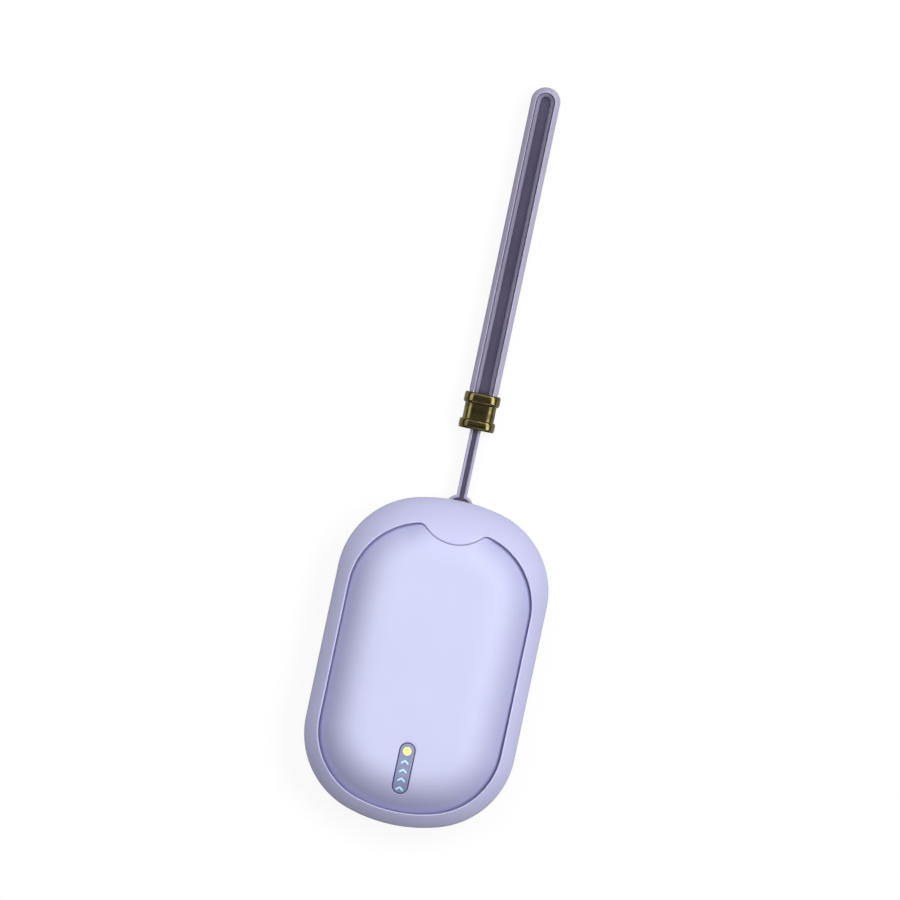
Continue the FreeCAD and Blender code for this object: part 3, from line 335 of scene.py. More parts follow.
# fine moulded or sanded skin: a broad tint drift, a fine grain for roughness, and its height
skinInputs = [
    ("Vector", "NodeSocketVector", None),
    ("Grain", "NodeSocketFloat", 2600.0),
    ("Drift", "NodeSocketFloat", 45.0),
    ("Colour A", "NodeSocketColor", None),
    ("Colour B", "NodeSocketColor", None),
    ("Rough Low", "NodeSocketFloat", 0.4),
    ("Rough High", "NodeSocketFloat", 0.55),
]
skin, given, out = addGroup("fineSkin", skinInputs, finishOutputs)
broad = noiseNode(skin, given["Vector"], given["Drift"], 2.0)
fine = noiseNode(skin, given["Vector"], given["Grain"], 2.0, 0.6)
tint = mapRange(skin, broad, 0.3, 0.7, 0.0, 1.0)
skin.links.new(mixColour(skin, tint, given["Colour A"], given["Colour B"]), out["Colour"])
fineShare = mathNode(skin, "MULTIPLY", fine, 0.6)
broadShare = mathNode(skin, "MULTIPLY", broad, 0.4)
dull = mathNode(skin, "ADD", fineShare, broadShare)
skin.links.new(mapRange(skin, dull, 0.3, 0.7, given["Rough Low"], given["Rough High"]), out["Roughness"])
skin.links.new(fine, out["Height"])

# strap hide: small cells with dark creases between them, over a slow tint drift
hideInputs = [
    ("Vector", "NodeSocketVector", None),
    ("Cells", "NodeSocketFloat", 1500.0),
    ("Colour A", "NodeSocketColor", None),
    ("Colour B", "NodeSocketColor", None),
]
hide, given, out = addGroup("strapHide", hideInputs, finishOutputs)
cell = hide.nodes.new("ShaderNodeTexVoronoi")
cell.feature = "DISTANCE_TO_EDGE"
hide.links.new(given["Vector"], cell.inputs["Vector"])
hide.links.new(given["Cells"], cell.inputs["Scale"])
crease = mapRange(hide, cell.outputs["Distance"], 0.0, 0.12, 0.0, 1.0)
drift = mapRange(hide, noiseNode(hide, given["Vector"], 60.0, 3.0), 0.3, 0.7, 0.0, 1.0)
pale = mathNode(hide, "MULTIPLY", drift, crease)
hide.links.new(mixColour(hide, pale, given["Colour B"], given["Colour A"]), out["Colour"])
hide.links.new(mapRange(hide, drift, 0.0, 1.0, 0.42, 0.56), out["Roughness"])
hide.links.new(crease, out["Height"])

# brushed and tarnished metal: streaks across one axis, and patches of dark patina
tarnishInputs = [
    ("Vector", "NodeSocketVector", None),
    ("Streaks", "NodeSocketFloat", 900.0),
    ("Patches", "NodeSocketFloat", 260.0),
    ("Bright", "NodeSocketColor", None),
    ("Dark", "NodeSocketColor", None),
    ("Rough Low", "NodeSocketFloat", 0.25),
    ("Rough High", "NodeSocketFloat", 0.5),
]
tarnish, given, out = addGroup("tarnish", tarnishInputs, finishOutputs)
stretch = tarnish.nodes.new("ShaderNodeMapping")
stretch.inputs["Scale"].default_value = (0.06, 1.0, 0.06)
tarnish.links.new(given["Vector"], stretch.inputs["Vector"])
streak = noiseNode(tarnish, stretch.outputs[0], given["Streaks"], 3.0)
blotch = noiseNode(tarnish, given["Vector"], given["Patches"], 4.0)
patch = mapRange(tarnish, blotch, 0.38, 0.66, 0.0, 1.0)
tarnish.links.new(mixColour(tarnish, patch, given["Bright"], given["Dark"]), out["Colour"])
streakShare = mathNode(tarnish, "MULTIPLY", streak, 0.5)
patchShare = mathNode(tarnish, "MULTIPLY", patch, 0.5)
dull = mathNode(tarnish, "ADD", streakShare, patchShare)
spread = mapRange(tarnish, dull, 0.2, 0.8, given["Rough Low"], given["Rough High"])
tarnish.links.new(spread, out["Roughness"])
tarnish.links.new(streak, out["Height"])
print("node groups made")


def finish(name, group, values, bump=0.05, distance=0.0001, **shader):
    # a material around one of the groups, on the piece's own Object coordinates
    material = bpy.data.materials.new(name)
    material.use_nodes = True
    tree = material.node_tree
    bsdf = tree.nodes["Principled BSDF"]
    where = tree.nodes.new("ShaderNodeTexCoord")
    node = tree.nodes.new("ShaderNodeGroup")
    node.node_tree = group
    for label, value in values.items():
        node.inputs[label].default_value = value
    tree.links.new(where.outputs["Object"], node.inputs["Vector"])
    tree.links.new(node.outputs["Colour"], bsdf.inputs["Base Color"])
    tree.links.new(node.outputs["Roughness"], bsdf.inputs["Roughness"])
    relief = tree.nodes.new("ShaderNodeBump")
    relief.inputs["Strength"].default_value = bump
    relief.inputs["Distance"].default_value = distance
    tree.links.new(node.outputs["Height"], relief.inputs["Height"])
    tree.links.new(relief.outputs["Normal"], bsdf.inputs["Normal"])
    for label, value in shader.items():
        bsdf.inputs[label.replace("_", " ")].default_value = value
    if "Emission_Strength" in shader:
        tree.links.new(node.outputs["Colour"], bsdf.inputs["Emission Color"])
    return material


def tone(r, g, b):
    # screen colour, 0 to 255, as a linear colour
    c = np.array([r, g, b]) / 255
    return (*np.where(c < 0.04045, c / 12.92, ((c + 0.055) / 1.055)**2.4).tolist(), 1.0)


def plastic(name, first, second, low=0.4, high=0.55, grain=2600.0, drift=45.0, bump=0.05, **shader):
    values = {"Colour A": first, "Colour B": second, "Rough Low": low, "Rough High": high}
    values.update({"Grain": grain, "Drift": drift})
    return finish(name, skin, values, bump, **shader)


def paintTiltShade(material, deep, most):
    # painted shade: the colour goes over to a deeper one by a per-point tilt value stored on the mesh, so
    # tilted faces are darkened as if shaded
    tree = material.node_tree
    base = tree.nodes["Principled BSDF"].inputs["Base Color"]
    plain = base.links[0].from_socket
    tint = tree.nodes.new("ShaderNodeAttribute")
    tint.attribute_name = "tiltShadeShare"
    share = mathNode(tree, "MULTIPLY", tint.outputs["Fac"], most)
    tree.links.new(mixColour(tree, share, plain, deep), base)


def metal(name, bright, dark, low=0.25, high=0.5, streaks=900.0, patches=260.0, bump=0.04):
    values = {"Bright": bright, "Dark": dark, "Rough Low": low, "Rough High": high}
    values.update({"Streaks": streaks, "Patches": patches})
    return finish(name, tarnish, values, bump, Metallic=1.0)


def strap(name, first, second, cells, bump):
    values = {"Colour A": first, "Colour B": second, "Cells": cells}
    return finish(name, hide, values, bump, Specular_IOR_Level=0.06)


lavenderPad = plastic("lavenderPad", tone(214, 216, 250), tone(211, 213, 248), 0.5, 0.6,
                      Specular_IOR_Level=0.3)
# the pad's colour deepens where its surface tilts: painted shade on its falling edges
paintTiltShade(lavenderPad, tone(124, 124, 180), 0.47)
lavenderCase = plastic("lavenderCase", tone(209, 210, 246), tone(206, 207, 244), 0.42, 0.52,
                       Specular_IOR_Level=0.35)
# darker, greyer lavender for the seat walls, the pad's side wall and the hidden undersides: painted shade
# in the crease between pad and frame
creaseShade = plastic("creaseShade", tone(184, 180, 203), tone(177, 173, 196), 0.5, 0.62,
                     Specular_IOR_Level=0.2)
smokeKey = plastic("smokeKey", tone(158, 163, 202), tone(150, 155, 194), 0.25, 0.38, Coat_Weight=0.3)
yellowLight = plastic("yellowLight", tone(252, 244, 150), tone(250, 238, 136), 0.25, 0.35, grain=1200.0,
                      Emission_Strength=0.4)
cyanLight = plastic("cyanLight", tone(176, 226, 240), tone(168, 214, 232), 0.25, 0.35, grain=1200.0,
                    Emission_Strength=0.45)
strapOuter = strap("strapOuter", tone(202, 198, 225), tone(190, 186, 214), 1500.0, 0.1)
strapNeck = strap("strapNeck", tone(186, 182, 209), tone(174, 170, 198), 1500.0, 0.1)
strapInner = strap("strapInner", tone(161, 155, 179), tone(149, 143, 167), 1900.0, 0.1)
# dark plum for the groove floor, the neck's lining and the neck's core: painted shade between the strap's
# legs and strands
grooveShade = strap("grooveShade", tone(90, 84, 107), tone(81, 75, 97), 1900.0, 0.1)
oldBrass = metal("oldBrass", tone(117, 106, 69), tone(78, 71, 44), 0.22, 0.34)
steel = metal("satinSteel", tone(205, 205, 208), tone(160, 160, 164), 0.22, 0.4)
boardGreen = plastic("boardGreen", tone(34, 92, 58), tone(28, 78, 50), 0.3, 0.42, drift=300.0)
chipBlack = plastic("chipBlack", tone(38, 38, 40), tone(30, 30, 32), 0.45, 0.6)
whiteNylon = plastic("whiteNylon", tone(232, 231, 226), tone(222, 220, 214), 0.4, 0.52)
yellowLamp = plastic("yellowLamp", tone(250, 238, 150), tone(244, 228, 130), 0.2, 0.3,
                     Emission_Strength=0.3)
cyanLamp = plastic("cyanLamp", tone(190, 232, 242), tone(180, 224, 236), 0.2, 0.3,
                   Emission_Strength=0.3)
pouchFoil = metal("pouchFoil", tone(200, 200, 204), tone(176, 176, 182), 0.3, 0.45, 300.0, 80.0)
greyFoam = plastic("greyFoam", tone(84, 84, 88), tone(66, 66, 70), 0.8, 0.95, 1400.0, 700.0, 0.4)
rolledSheet = metal("rolledSheet", tone(214, 214, 218), tone(188, 188, 194), 0.28, 0.42)
amberFilm = plastic("amberFilm", tone(196, 128, 44), tone(180, 112, 34), 0.2, 0.32)
gapPad = plastic("gapPad", tone(168, 172, 180), tone(156, 160, 170), 0.7, 0.85)
redWire = plastic("redWire", tone(182, 34, 30), tone(164, 28, 26), 0.4, 0.5)
blackWire = plastic("blackWire", tone(36, 36, 38), tone(28, 28, 30), 0.4, 0.5)

# nodes that keep their solid, by finish
plainFinishes = [
    (boardGreen, ["main_board", "protection_board"]),
    (chipBlack, ["board_chips", "power_inductor", "switch_body"]),
    (chipBlack, ["light_shield", "usb_c_tongue", "thermistor"]),
    (whiteNylon, ["switch_plunger", "lead_header", "cell_tape"]),
    (yellowLamp, ["status_led"]),
    (cyanLamp, ["level_leds"]),
    (pouchFoil, ["battery_cell_lower", "battery_cell_upper"]),
    (greyFoam, ["rear_foam", "front_foam"]),
    (rolledSheet, ["rear_heat_plate", "front_heat_plate"]),
    (amberFilm, ["rear_heater_film", "front_heater_film"]),
    (gapPad, ["thermal_pad"]),
    (redWire, ["battery_lead_red", "front_heater_leads"]),
    (blackWire, ["battery_lead_black", "rear_heater_leads", "thermistor_leads"]),
    (steel, ["usb_c_shell", "lanyard_pin", "case_screws", "board_screws"]),
    (lavenderCase, ["rear_shell"]),
    (oldBrass, ["ferrule_wedge"]),
]


def paintNode(node, material):
    slots = nodes[node].data.materials
    slots.clear()
    slots.append(material)


for material, members in plainFinishes:
    for node in members:
        paintNode(node, material)
print("materials made")


# camera and lights

view = {"middle": (-5.92, 60.0), "span": 253.5, "height": 900.0, "roll": 12.03}
cameraData = bpy.data.cameras.new("camera")
camera = bpy.data.objects.new("camera", cameraData)
scene.collection.objects.link(camera)
cameraData.type = "ORTHO"
cameraData.ortho_scale = view["span"] * mm
camera.location = (view["middle"][0] * mm, view["middle"][1] * mm, view["height"] * mm)
camera.rotation_euler = (0, 0, math.radians(view["roll"]))
cameraData.clip_start = 0.01
scene.camera = camera

lamps = {
    "leftBox": {"at": (-0.49, 0.25, 0.75), "size": (1.0, 0.5), "power": 3.6},
    "rightBox": {"at": (0.49, 0.25, 0.75), "size": (1.0, 0.5), "power": 7.6},
    "lowStrip": {"at": (0.0, -0.45, 0.8), "size": (0.6, 0.1), "power": 0.45},
    "topStrip": {"at": (0.0, 0.62, 0.8), "size": (0.6, 0.1), "power": 0.45},
}
aim = np.array([0.0, 0.03, 0.01])
for name, lamp in lamps.items():
    data = bpy.data.lights.new(name, "AREA")
    data.shape = "RECTANGLE"
    data.size, data.size_y = lamp["size"]
    data.energy = lamp["power"]
    light = bpy.data.objects.new(name, data)
    light.location = lamp["at"]
    gaze = aim - np.array(lamp["at"])
    flat = math.hypot(gaze[0], gaze[1])
    light.rotation_euler = (math.atan2(flat, -gaze[2]), 0, math.atan2(gaze[1], gaze[0]) - math.pi / 2)
    scene.collection.objects.link(light)

world = bpy.data.worlds.new("world")
scene.world = world
world.use_nodes = True
sky = world.node_tree
backdrop = sky.nodes["Background"]
backdrop.inputs["Color"].default_value = (1, 1, 1, 1)
path = sky.nodes.new("ShaderNodeLightPath")
heading = sky.nodes.new("ShaderNodeSeparateXYZ")
sky.links.new(sky.nodes.new("ShaderNodeTexCoord").outputs["Generated"], heading.inputs[0])
nearFloor = mapRange(sky, heading.outputs["Z"], 0.05, 0.25, 1.0, 0.0)  # white all round, dark overhead
inMetal = mathNode(sky, "MAXIMUM", path.outputs["Is Glossy Ray"], path.outputs["Is Transmission Ray"])
inMetal = mathNode(sky, "MULTIPLY", inMetal, nearFloor)
shown = mathNode(sky, "MAXIMUM", path.outputs["Is Camera Ray"], inMetal)
sky.links.new(mathNode(sky, "MAXIMUM", shown, 0.05), backdrop.inputs["Strength"])
scene.view_settings.view_transform = "Standard"

floorMesh = bpy.data.meshes.new("floor")
floorMesh.from_pydata([(-3, -3, 0), (3, -3, 0), (3, 3, 0), (-3, 3, 0)], [], [(0, 1, 2, 3)])
floor = bpy.data.objects.new("floor", floorMesh)
scene.collection.objects.link(floor)
floorLook = bpy.data.materials.new("floorLook")
floorLook.use_nodes = True
tree = floorLook.node_tree
bsdf = tree.nodes["Principled BSDF"]
bsdf.inputs["Base Color"].default_value = (0.1, 0.1, 0.1, 1)
bsdf.inputs["Roughness"].default_value = 0.9
path = tree.nodes.new("ShaderNodeLightPath")
mirrored = mathNode(tree, "MAXIMUM", path.outputs["Is Glossy Ray"], path.outputs["Is Transmission Ray"])
seen = mathNode(tree, "MAXIMUM", path.outputs["Is Camera Ray"], mirrored)
glow = tree.nodes.new("ShaderNodeEmission")
tree.links.new(mathNode(tree, "MULTIPLY", seen, 0.9), glow.inputs["Strength"])
both = tree.nodes.new("ShaderNodeAddShader")
tree.links.new(bsdf.outputs[0], both.inputs[0])
tree.links.new(glow.outputs[0], both.inputs[1])
tree.links.new(both.outputs[0], tree.nodes["Material Output"].inputs["Surface"])
floorMesh.materials.append(floorLook)
print("camera and lamps set")


# lanyard straps

lanyard = {
    "height": 4.3,
    "loopBand": 1.4,
    "loopDepth": 8.0,
    "tailDepth": 5.2,
}


def routeLine(name, corners, steps):
    # smooth line through the route: a spline with the corners as control points, read back as points
    data = bpy.data.curves.new(name, "CURVE")
    data.dimensions = "3D"
    data.resolution_u = steps
    spline = data.splines.new("NURBS")
    spline.points.add(len(corners) - 1)
    for point, (x, y) in zip(spline.points, corners):
        point.co = (x, y, lanyard["height"], 1)
    spline.order_u = 3
    spline.use_endpoint_u = True
    holder = bpy.data.objects.new(name, data)
    scene.collection.objects.link(holder)
    bpy.context.view_layer.update()
    mesh = bpy.data.meshes.new_from_object(holder)
    line = np.zeros(len(mesh.vertices) * 3)
    mesh.vertices.foreach_get("co", line)
    bpy.data.objects.remove(holder)
    bpy.data.meshes.remove(mesh)
    return line.reshape(-1, 3)


def roundedSlab(halfWide, halfTall, corner, count=6):
    # closed section: a rectangle with rounded corners, as (across, up) pairs
    runs = []
    for way, (sx, sz) in zip((0, 90, 180, 270), ((1, 1), (-1, 1), (-1, -1), (1, -1))):
        centre = (sx * (halfWide - corner), sz * (halfTall - corner))
        runs.append(arcRun(centre, corner, way, way + 90, count))
    return np.vstack(runs)


def carry(line, section, across=None, up=None):
    # the section carried along a level line: across follows the line's left-hand side, up is +Z
    step = np.gradient(line, axis=0)
    step /= np.linalg.norm(step, axis=1, keepdims=True)
    left = np.stack([-step[:, 1], step[:, 0], 0 * step[:, 0]], -1)
    wide = np.ones(len(line)) if across is None else across
    tall = np.ones(len(line)) if up is None else up
    grid = line[:, None, :] + left[:, None, :] * (section[None, :, :1] * wide[:, None, None])
    grid[..., 2] += section[None, :, 1] * tall[:, None]
    return grid


def bothSides(half):
    # a strap goes up or down one side as listed and comes back along the other
    return half + [(-x, y) for x, y in half[::-1] if x]


# routes of the straps' middle lines, in millimetres: one side of each, from the ferrule on
loopRoute = [(3.45, 71.2), (3.45, 125.0), (3.45, 160.0), (3.45, 162.88), (1.43, 164.9)]
loopInnerRoute = [(2.05, 71.2), (2.05, 125.0), (2.05, 160.6), (2.05, 162.3), (0.85, 163.5)]
neckRoute = [
    (1.075, 70.4), (1.075, 48.66), (1.075, 47.75), (1.95, 47.5), (3.1, 46.5),
    (3.62, 44.68), (3.31, 42.66), (1.96, 41.12), (0, 40.55),
]
neckInnerRoute = [
    (0.35, 70.4), (0.35, 48.61), (0.35, 47.3), (1.6, 46.9), (2.72, 45.73), (2.78, 43.1), (0.94, 41.3),
]


def tailShare(line, full, narrow, begin, end):
    # 1 along the strap, falling to a smaller share where it goes into the ferrule
    return narrow / full + (1 - narrow / full) * smoothStep((line[:, 1] - begin) / (end - begin))


def putStrap(name, line, section, material, across=None, up=None):
    grid = carry(line, section, across, up)
    piece = putGrid(name, grid, material, caps=(0, len(line) - 1))
    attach(piece, "lanyard")
    return piece


loopLine = routeLine("loopLine", bothSides(loopRoute), 110)
rise = tailShare(loopLine, lanyard["loopDepth"], lanyard["tailDepth"], 77.3, 80.5)
thin = tailShare(loopLine, lanyard["loopBand"], 0.7, 76.8, 78.2)
bandSection = np.array([  # outer face straight, then a steep slant up to a crest beside the lining
    (-0.6, -3.95), (-0.7, -3.7), (-0.7, 0.0), (-0.7, 1.7), (-0.67, 2.0), (-0.55, 2.3),
    (-0.2, 2.82), (0.2, 3.4), (0.5, 3.82), (0.6, 3.93), (0.66, 3.9), (0.69, 3.7),
    (0.69, 2.8), (0.69, 0.0), (0.68, -3.7), (0.58, -3.95),
])
loopBand = putStrap("wristLoopBand", loopLine, bandSection, strapOuter, thin, rise)
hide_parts("loop_band")

liningLine = routeLine("liningLine", bothSides(loopInnerRoute), 110)
rise = tailShare(liningLine, lanyard["loopDepth"], lanyard["tailDepth"], 77.3, 80.5)
liningSection = np.array([  # outer face straight, a low crest, then a steep fall to the groove
    (-0.62, -3.9), (-0.66, -3.6), (-0.66, 0.0), (-0.66, 1.3), (-0.6, 1.7), (-0.45, 2.02),
    (-0.25, 2.2), (-0.05, 2.18), (0.15, 2.0), (0.4, 1.6), (0.6, 1.15), (0.7, 0.7),
    (0.7, 0.0), (0.7, -3.6), (0.66, -3.9),
])
loopLining = putStrap("wristLoopLining", liningLine, liningSection, strapInner, None, rise)
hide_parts("loop_lining")
# floor of the groove between the legs, coloured dark plum as painted shade in the groove
webLine = np.stack([np.zeros(40), np.linspace(76.8, 163.3, 40), np.full(40, 2.85)], -1)
loopWeb = putStrap("wristLoopWeb", webLine, roundedSlab(1.5, 2.5, 0.2), grooveShade)

neckLine = routeLine("neckLine", bothSides(neckRoute), 30)
neckBand = putStrap("neckBand", neckLine, roundedSlab(0.42, 1.8, 0.3), strapNeck)
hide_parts("neck_band")
neckInnerLine = routeLine("neckInnerLine", bothSides(neckInnerRoute), 30)
# the neck's lining in the same dark plum: painted shade between its strands
neckLining = putStrap("neckLining", neckInnerLine, roundedSlab(0.3, 1.62, 0.2), grooveShade)
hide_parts("neck_lining")
throatY = np.linspace(70.3, 46.6, 120)  # the core fills the fork between the legs down to the eye
half = neckInnerLine[: len(neckInnerLine) // 2]
throatLine = np.stack([0 * throatY, throatY, np.full(120, lanyard["height"])], -1)
throatWide = np.interp(throatY, half[::-1, 1], half[::-1, 0])
# the core is a dark piece standing in for the shade between the neck's strands: painted shade
neckShadeCore = putStrap("neckShadeCore", throatLine, roundedSlab(1.0, 1.6, 0.1), grooveShade, throatWide)


def lengthOf(line):
    return float(np.linalg.norm(np.diff(line, axis=0), axis=1).sum())


print("loop", round(lengthOf(loopLine), 1), "mm, neck", round(lengthOf(neckLine), 1), "mm")


# ferrule: a rounded rectangle carried along Y, swelling into two flanges, with its bores inside

ferrule = {
    "start": 67.0,
    "end": 77.4,
    "lower": 2.8,                 # length of the flange towards the case
    "upper": 3.1,                 # and of the one towards the loop
    "flange": (5.15, 4.2, 3.0),   # half width, half height, corner
    "waist": (4.5, 3.55, 2.4),
    "neckBore": (1.56, 1.86),
    "loopBore": (3.5, 2.65),
    "boreStep": 71.0,
}


def ferruleRing(y, halfWide, halfTall, corner):
    # one rounded rectangle across the ferrule at a place along it
    corner = max(min(corner, halfWide - 0.05, halfTall - 0.05), 0.05)
    section = roundedSlab(halfWide, halfTall, corner, 16)
    return np.stack([section[:, 0], np.full(len(section), y), section[:, 1] + lanyard["height"]], -1)


def flangeRings(low, high, wide):
    # one flange: both ends rounded over, then a slight chamfer up to its flat
    edge = [(0, 0.45), (0.03, 0.32), (0.09, 0.22), (0.16, 0.17), (0.25, 0.13), (0.6, 0.015), (0.68, 0)]
    rows = [(low + y, p) for y, p in edge] + [(high - y, p) for y, p in edge[::-1]]
    return [ferruleRing(y, wide[0] - p, wide[1] - p, wide[2] - p) for y, p in rows]


def ferruleGrid():
    # lower flange, waist and upper flange, then back through the loop's bore and the neck's
    start, end, step = ferrule["start"], ferrule["end"], ferrule["boreStep"]
    lowTop, highLow = start + ferrule["lower"], end - ferrule["upper"]
    waistRows = (lowTop, lowTop + 0.15, (lowTop + highLow) / 2, highLow - 0.15, highLow)
    rings = flangeRings(start, lowTop, ferrule["flange"])
    rings += [ferruleRing(y, *ferrule["waist"]) for y in waistRows]
    rings += flangeRings(highLow, end, ferrule["flange"])
    rings += [ferruleRing(y, *ferrule["loopBore"], 0.4) for y in (end, end - 0.2, step)]
    rings += [ferruleRing(y, *ferrule["neckBore"], 0.3) for y in (step, start + 0.2, start)]
    return np.stack(rings)


ferrulePiece = putGrid("ferruleSpool", ferruleGrid(), oldBrass, closeRows=True)
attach(ferrulePiece, "lanyard")
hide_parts("ferrule")
print("lanyard made")


# front frame: a closed ring, up the outer wall, over the dome, down the pad's seat and back underneath

frameRing = {"count": 720, "domeRows": 46, "seatRoll": 0.6, "seatRollLow": 0.45}


def polarOf(line, turn):
    # distance of a line from the middle at given angles
    angle = np.unwrap(np.arctan2(line[:, 1], line[:, 0]))
    reach = np.hypot(line[:, 0], line[:, 1])
    order = np.argsort(angle % (2 * np.pi))
    return np.interp(turn, (angle % (2 * np.pi))[order], reach[order], period=2 * np.pi)


def frameGrid():
    # each row is a flat line and its height, all on the same rays from the middle
    angle = evenly(padLine(-pad["gap"], 1400), frameRing["count"])
    turn = np.unwrap(np.arctan2(angle[:, 1], angle[:, 0]))
    ray = np.stack([np.cos(turn), np.sin(turn)], -1)

    def ring(line):
        return ray * polarOf(line, turn)[:, None]

    roll = case["edgeRoll"]
    rollZ = case["domeCentre"] + math.sqrt((case["domeRadius"] - roll)**2 - (case["reach"] - roll)**2)
    tilt = math.atan2(rollZ - case["domeCentre"], case["reach"] - roll)
    foot = case["parting"]
    rows = []
    for inset, z in ((0.22, foot), (0.06, foot + 0.06), (0, foot + 0.22), (0, 9.0), (0, rollZ - 0.3)):
        rows.append((ring(caseLine(inset)), z))
    for bend in np.linspace(0, tilt, 9):
        rows.append((ring(caseLine(roll - roll * math.cos(bend))), rollZ + roll * math.sin(bend)))
    outer = rows[-1][0]
    seatEdge = padLine(-pad["gap"], 1400)
    seat = ring(seatEdge)
    share = np.linspace(0, 1, frameRing["domeRows"])[1:]
    share = 1 - (1 - share)**1.7
    domed = outer[None] + (seat - outer)[None] * share[:, None, None]
    height = domeHeight(distanceTo(domed, caseEdge))
    low = smoothStep((-6 - domed[..., 1]) / 36)
    lip = frameRing["seatRoll"] + (frameRing["seatRollLow"] - frameRing["seatRoll"]) * low
    close = np.clip(1 - distanceTo(domed, seatEdge) / lip, 0, 1)
    height = height - lip * (1 - np.sqrt(1 - close**2))
    rows += [(flat, z) for flat, z in zip(domed, height)]
    top = height[-1]
    ledge, under = pad["ledge"], pad["ledge"] - 1.4
    opening = ring(padLine(1.5))
    inside = ring(caseLine(case["wall"]))
    clear = np.hypot(*inside.T) > np.hypot(*opening.T) + 0.3
    inside = np.where(clear[:, None], inside, opening * 1.01)
    rows += [(seat, top - 0.4), (seat, ledge + 0.1), (seat, ledge), (opening, ledge), (opening, under)]
    rows += [(inside, under), (inside, foot)]
    grid = np.zeros((len(rows), len(turn), 3))
    for row, (flat, z) in enumerate(rows):
        grid[row, :, :2] = flat
        grid[row, :, 2] = z
    return grid


portCut = {
    "halfWide": 4.63,
    "halfTall": 1.79,
    "corner": 1.48,
    "middle": 9.17,
    "from": -48.5,
    "to": -41.5,
}
frameRows = frameGrid()
frontFrame = putGrid("frontFrameRing", frameRows, lavenderCase, closeRows=True)
# the seat wall, ledge and undersides take the darker lavender: painted shade in the crease
shadeRows(frontFrame, frameRing["count"], range(len(frameRows) - 8, len(frameRows)), creaseShade)


def cutThrough(piece, section, start, end, up):
    # takes a prism along Y out of a piece and keeps the result as its mesh
    across, height = section[:, 0], section[:, 1] + up
    rings = [np.stack([across, np.full(len(section), y), height], -1) for y in (start, end)]
    cutter = putGrid("portCutter", np.stack(rings), lavenderCase, caps=(0, 1))
    change = piece.modifiers.new("port", "BOOLEAN")
    change.operation = "DIFFERENCE"
    change.solver = "EXACT"
    change.object = cutter
    bpy.context.view_layer.update()
    cut = piece.evaluated_get(bpy.context.evaluated_depsgraph_get())
    result = bpy.data.meshes.new_from_object(cut)
    piece.modifiers.remove(change)
    piece.data = result
    bpy.data.objects.remove(cutter)


portSection = roundedSlab(portCut["halfWide"], portCut["halfTall"], portCut["corner"], 8)
cutThrough(frontFrame, portSection, portCut["from"], portCut["to"], portCut["middle"])
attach(frontFrame, "case")
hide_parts("front_frame")
print("front frame made")


# front pad: a closed ring round the key's aperture, up its wall, over the pillow and back underneath

keyShape = {
    "y": -30.4,
    "width": 4.6,
    "length": 14.7,
    "gap": 0.2,
    "sink": 0.12,      # how far the key lies below the pad
    "edge": 0.35,
    "flange": 15.4,    # height of the flange's top
    "bottom": 14.5,
}
padRing = {"count": 560, "rows": 84}


def pillLine(grow, turn=None, count=400):
    # the key's pill outline, grown all round, at given angles about its middle or evenly spaced
    r = keyShape["width"] / 2 + grow
    straight = (keyShape["length"] - keyShape["width"]) / 2
    y = keyShape["y"]
    upper, lower = arcRun((0, y + straight), r, 0, 180, 90), arcRun((0, y - straight), r, 180, 360, 90)
    line = np.vstack([upper, lower])
    if turn is None:
        return evenly(line, count)
    middle = np.array([0, y])
    reach = polarOf(evenly(line, 1600) - middle, turn)
    return middle + reach[:, None] * np.stack([np.cos(turn), np.sin(turn)], -1)


def padGrid():
    # each row is a flat line and its height: wall, pillow from the edge to the aperture, then the ceiling
    outer = padLine(pad["inset"], padRing["count"])
    aim = outer - np.array([0, keyShape["y"]])
    turn = np.unwrap(np.arctan2(aim[:, 1], aim[:, 0]))
    hole = pillLine(0, turn)
    lip = pillLine(0.12, turn)
    share = np.linspace(0, 1, padRing["rows"])**1.8
    flat = outer[None] + (lip - outer)[None] * share[:, None, None]
    top = padHeight(flat)
    ceiling = np.minimum(top - pad["wall"], case["crown"] - pad["wall"])
    foot = pad["ledge"]
    wall = top[0] - foot
    rows = [(outer, foot), (outer, foot + wall * 0.4), (outer, foot + wall * 0.8)]
    rows += [(line, z) for line, z in zip(flat, top)]
    rows += [(lip + (hole - lip) * 0.7, top[-1] - 0.04), (hole, top[-1] - 0.15), (hole, ceiling[-1])]
    inner = padLine(pad["wall"], padRing["count"])
    back = np.linspace(1, 0, 12)
    under = inner[None] + (hole - inner)[None] * back[1:, None, None]
    underZ = np.maximum(padHeight(under) - pad["wall"], foot + 0.1)
    rows += [(line, z) for line, z in zip(under, underZ)]
    rows += [(inner, pad["ledge"])]
    grid = np.zeros((len(rows), len(turn), 3))
    for row, (line, z) in enumerate(rows):
        grid[row, :, :2] = line
        grid[row, :, 2] = z
    return grid


def storeTiltShade(piece):
    # how far each point's surface is tilted from level, 0 when flat and 1 at about 55 degrees, stored as
    # the share of painted shade
    lean = np.zeros(len(piece.data.vertices) * 3)
    piece.data.vertex_normals.foreach_get("vector", lean)
    share = np.clip((0.98 - lean[2::3]) / 0.43, 0, 1)
    piece.data.attributes.new("tiltShadeShare", "FLOAT", "POINT").data.foreach_set("value", share)


padRows = padGrid()
frontPad = putGrid("frontPad", padRows, lavenderPad, closeRows=True)
# the tilt share of painted shade for the pad's colour
storeTiltShade(frontPad)
# the pad's side wall and underside take the darker lavender: painted shade in the crease
shadeRows(frontPad, padRing["count"], [0, 1, 2, *range(padRing["rows"] + 5, len(padRows))], creaseShade)
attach(frontPad, "case")
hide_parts("front_cover")
print("front pad made")


# power key and its lights

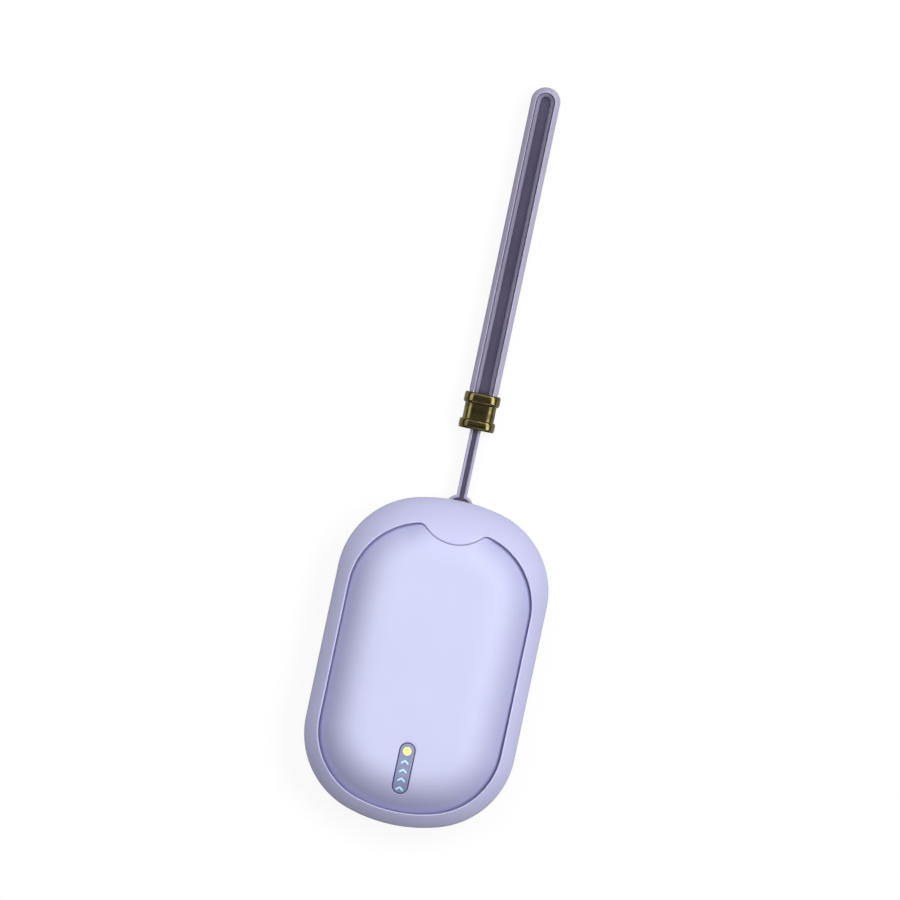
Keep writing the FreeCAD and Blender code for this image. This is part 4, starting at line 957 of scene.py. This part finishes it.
def keyGrid():
    # pill rings from its middle line out, over a rounded edge and down to the flange
    half = keyShape["width"] / 2 - keyShape["gap"]
    edge = keyShape["edge"]
    rows = []
    for share in np.linspace(0.01, 1, 12):
        line = pillLine(-keyShape["gap"] - edge - (half - edge) * (1 - share), count=160)
        rows.append((line, padHeight(line) - keyShape["sink"]))
    for bend in np.radians(np.linspace(15, 90, 6)):
        line = pillLine(-keyShape["gap"] - edge * (1 - math.sin(bend)), count=160)
        rows.append((line, padHeight(line) - keyShape["sink"] - edge * (1 - math.cos(bend))))
    side = rows[-1][0]
    flange, bottom = keyShape["flange"], keyShape["bottom"]
    rim = pillLine(0.9, count=160)
    rows += [(side, flange), (rim, flange), (rim, bottom), (pillLine(-1.5, count=160), bottom)]
    grid = np.zeros((len(rows), 160, 3))
    for row, (line, z) in enumerate(rows):
        grid[row, :, :2] = line
        grid[row, :, 2] = z
    return grid


keyRows = keyGrid()
powerKey = putGrid("powerKeyPill", keyRows, smokeKey, caps=(0, len(keyRows) - 1))
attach(powerKey, "power_key")
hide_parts("power_key")

lights = {
    "dotY": -25.5,
    "dotRadius": 1.25,
    "proud": 0.05,
    "depth": 1.2,
    "firstY": -28.65,
    "pitch": 2.53,
    "width": 2.1,
    "rise": 0.75,
    "stroke": 0.6,
}


def keyTop(points):
    # the lights' tops stand slightly proud of the key's
    return padHeight(points) - keyShape["sink"] + lights["proud"]


def dotGrid():
    # shallow lens: rings from the middle out, then a short wall
    rows = []
    turn = np.linspace(0, 2 * np.pi, 48, endpoint=False)
    ray = np.stack([np.cos(turn), np.sin(turn)], -1)
    lens = [(0.02, 0), (0.3, 0), (0.6, 0), (0.85, 0.01), (0.95, 0.03), (1.0, 0.08)]
    wall = [(1.0, lights["depth"]), (0.1, lights["depth"])]
    for share, drop in lens + wall:
        line = np.array([0, lights["dotY"]]) + ray * share * lights["dotRadius"]
        rows.append(np.column_stack([line, keyTop(line) - drop]))
    return np.stack(rows)


dotLight = putGrid("yellowDot", dotGrid(), yellowLight, caps=(0, 7))
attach(dotLight, "power_key")
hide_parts("key_dot_light_pipe")


def chevronMesh():
    # four arrowheads: the same six corners each, a top that follows the key and a wall below it
    half, rise, stroke = lights["width"] / 2, lights["rise"], lights["stroke"]
    low = -(rise + stroke) / 2
    under = np.array([(-half, low), (0, low + rise), (half, low)])
    plan = np.vstack([under, under[::-1] + np.array([0, stroke])])
    places = lights["firstY"] - lights["pitch"] * np.arange(4)
    flat = plan[None] + np.stack([0 * places, places], -1)[:, None]
    top = np.concatenate([flat, keyTop(flat)[..., None]], -1)
    below = top - np.array([0, 0, lights["depth"]])
    points = np.concatenate([top, below], 1).reshape(-1, 3)
    faces = []
    for start in range(0, 48, 12):
        faces += [[start + k for k in (0, 1, 4, 5)], [start + k for k in (1, 2, 3, 4)]]
        faces += [[start + k + 6 for k in (5, 4, 1, 0)], [start + k + 6 for k in (4, 3, 2, 1)]]
        pairs = [(start + k, start + (k + 1) % 6) for k in range(6)]
        faces += [[here, here + 6, there + 6, there] for here, there in pairs]
    return points, faces


points, faces = chevronMesh()
chevrons = putMesh("cyanChevrons", points * mm, faces, cyanLight, smooth=False)
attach(chevrons, "power_key")
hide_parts("key_chevron_light_pipes")
print("key made")
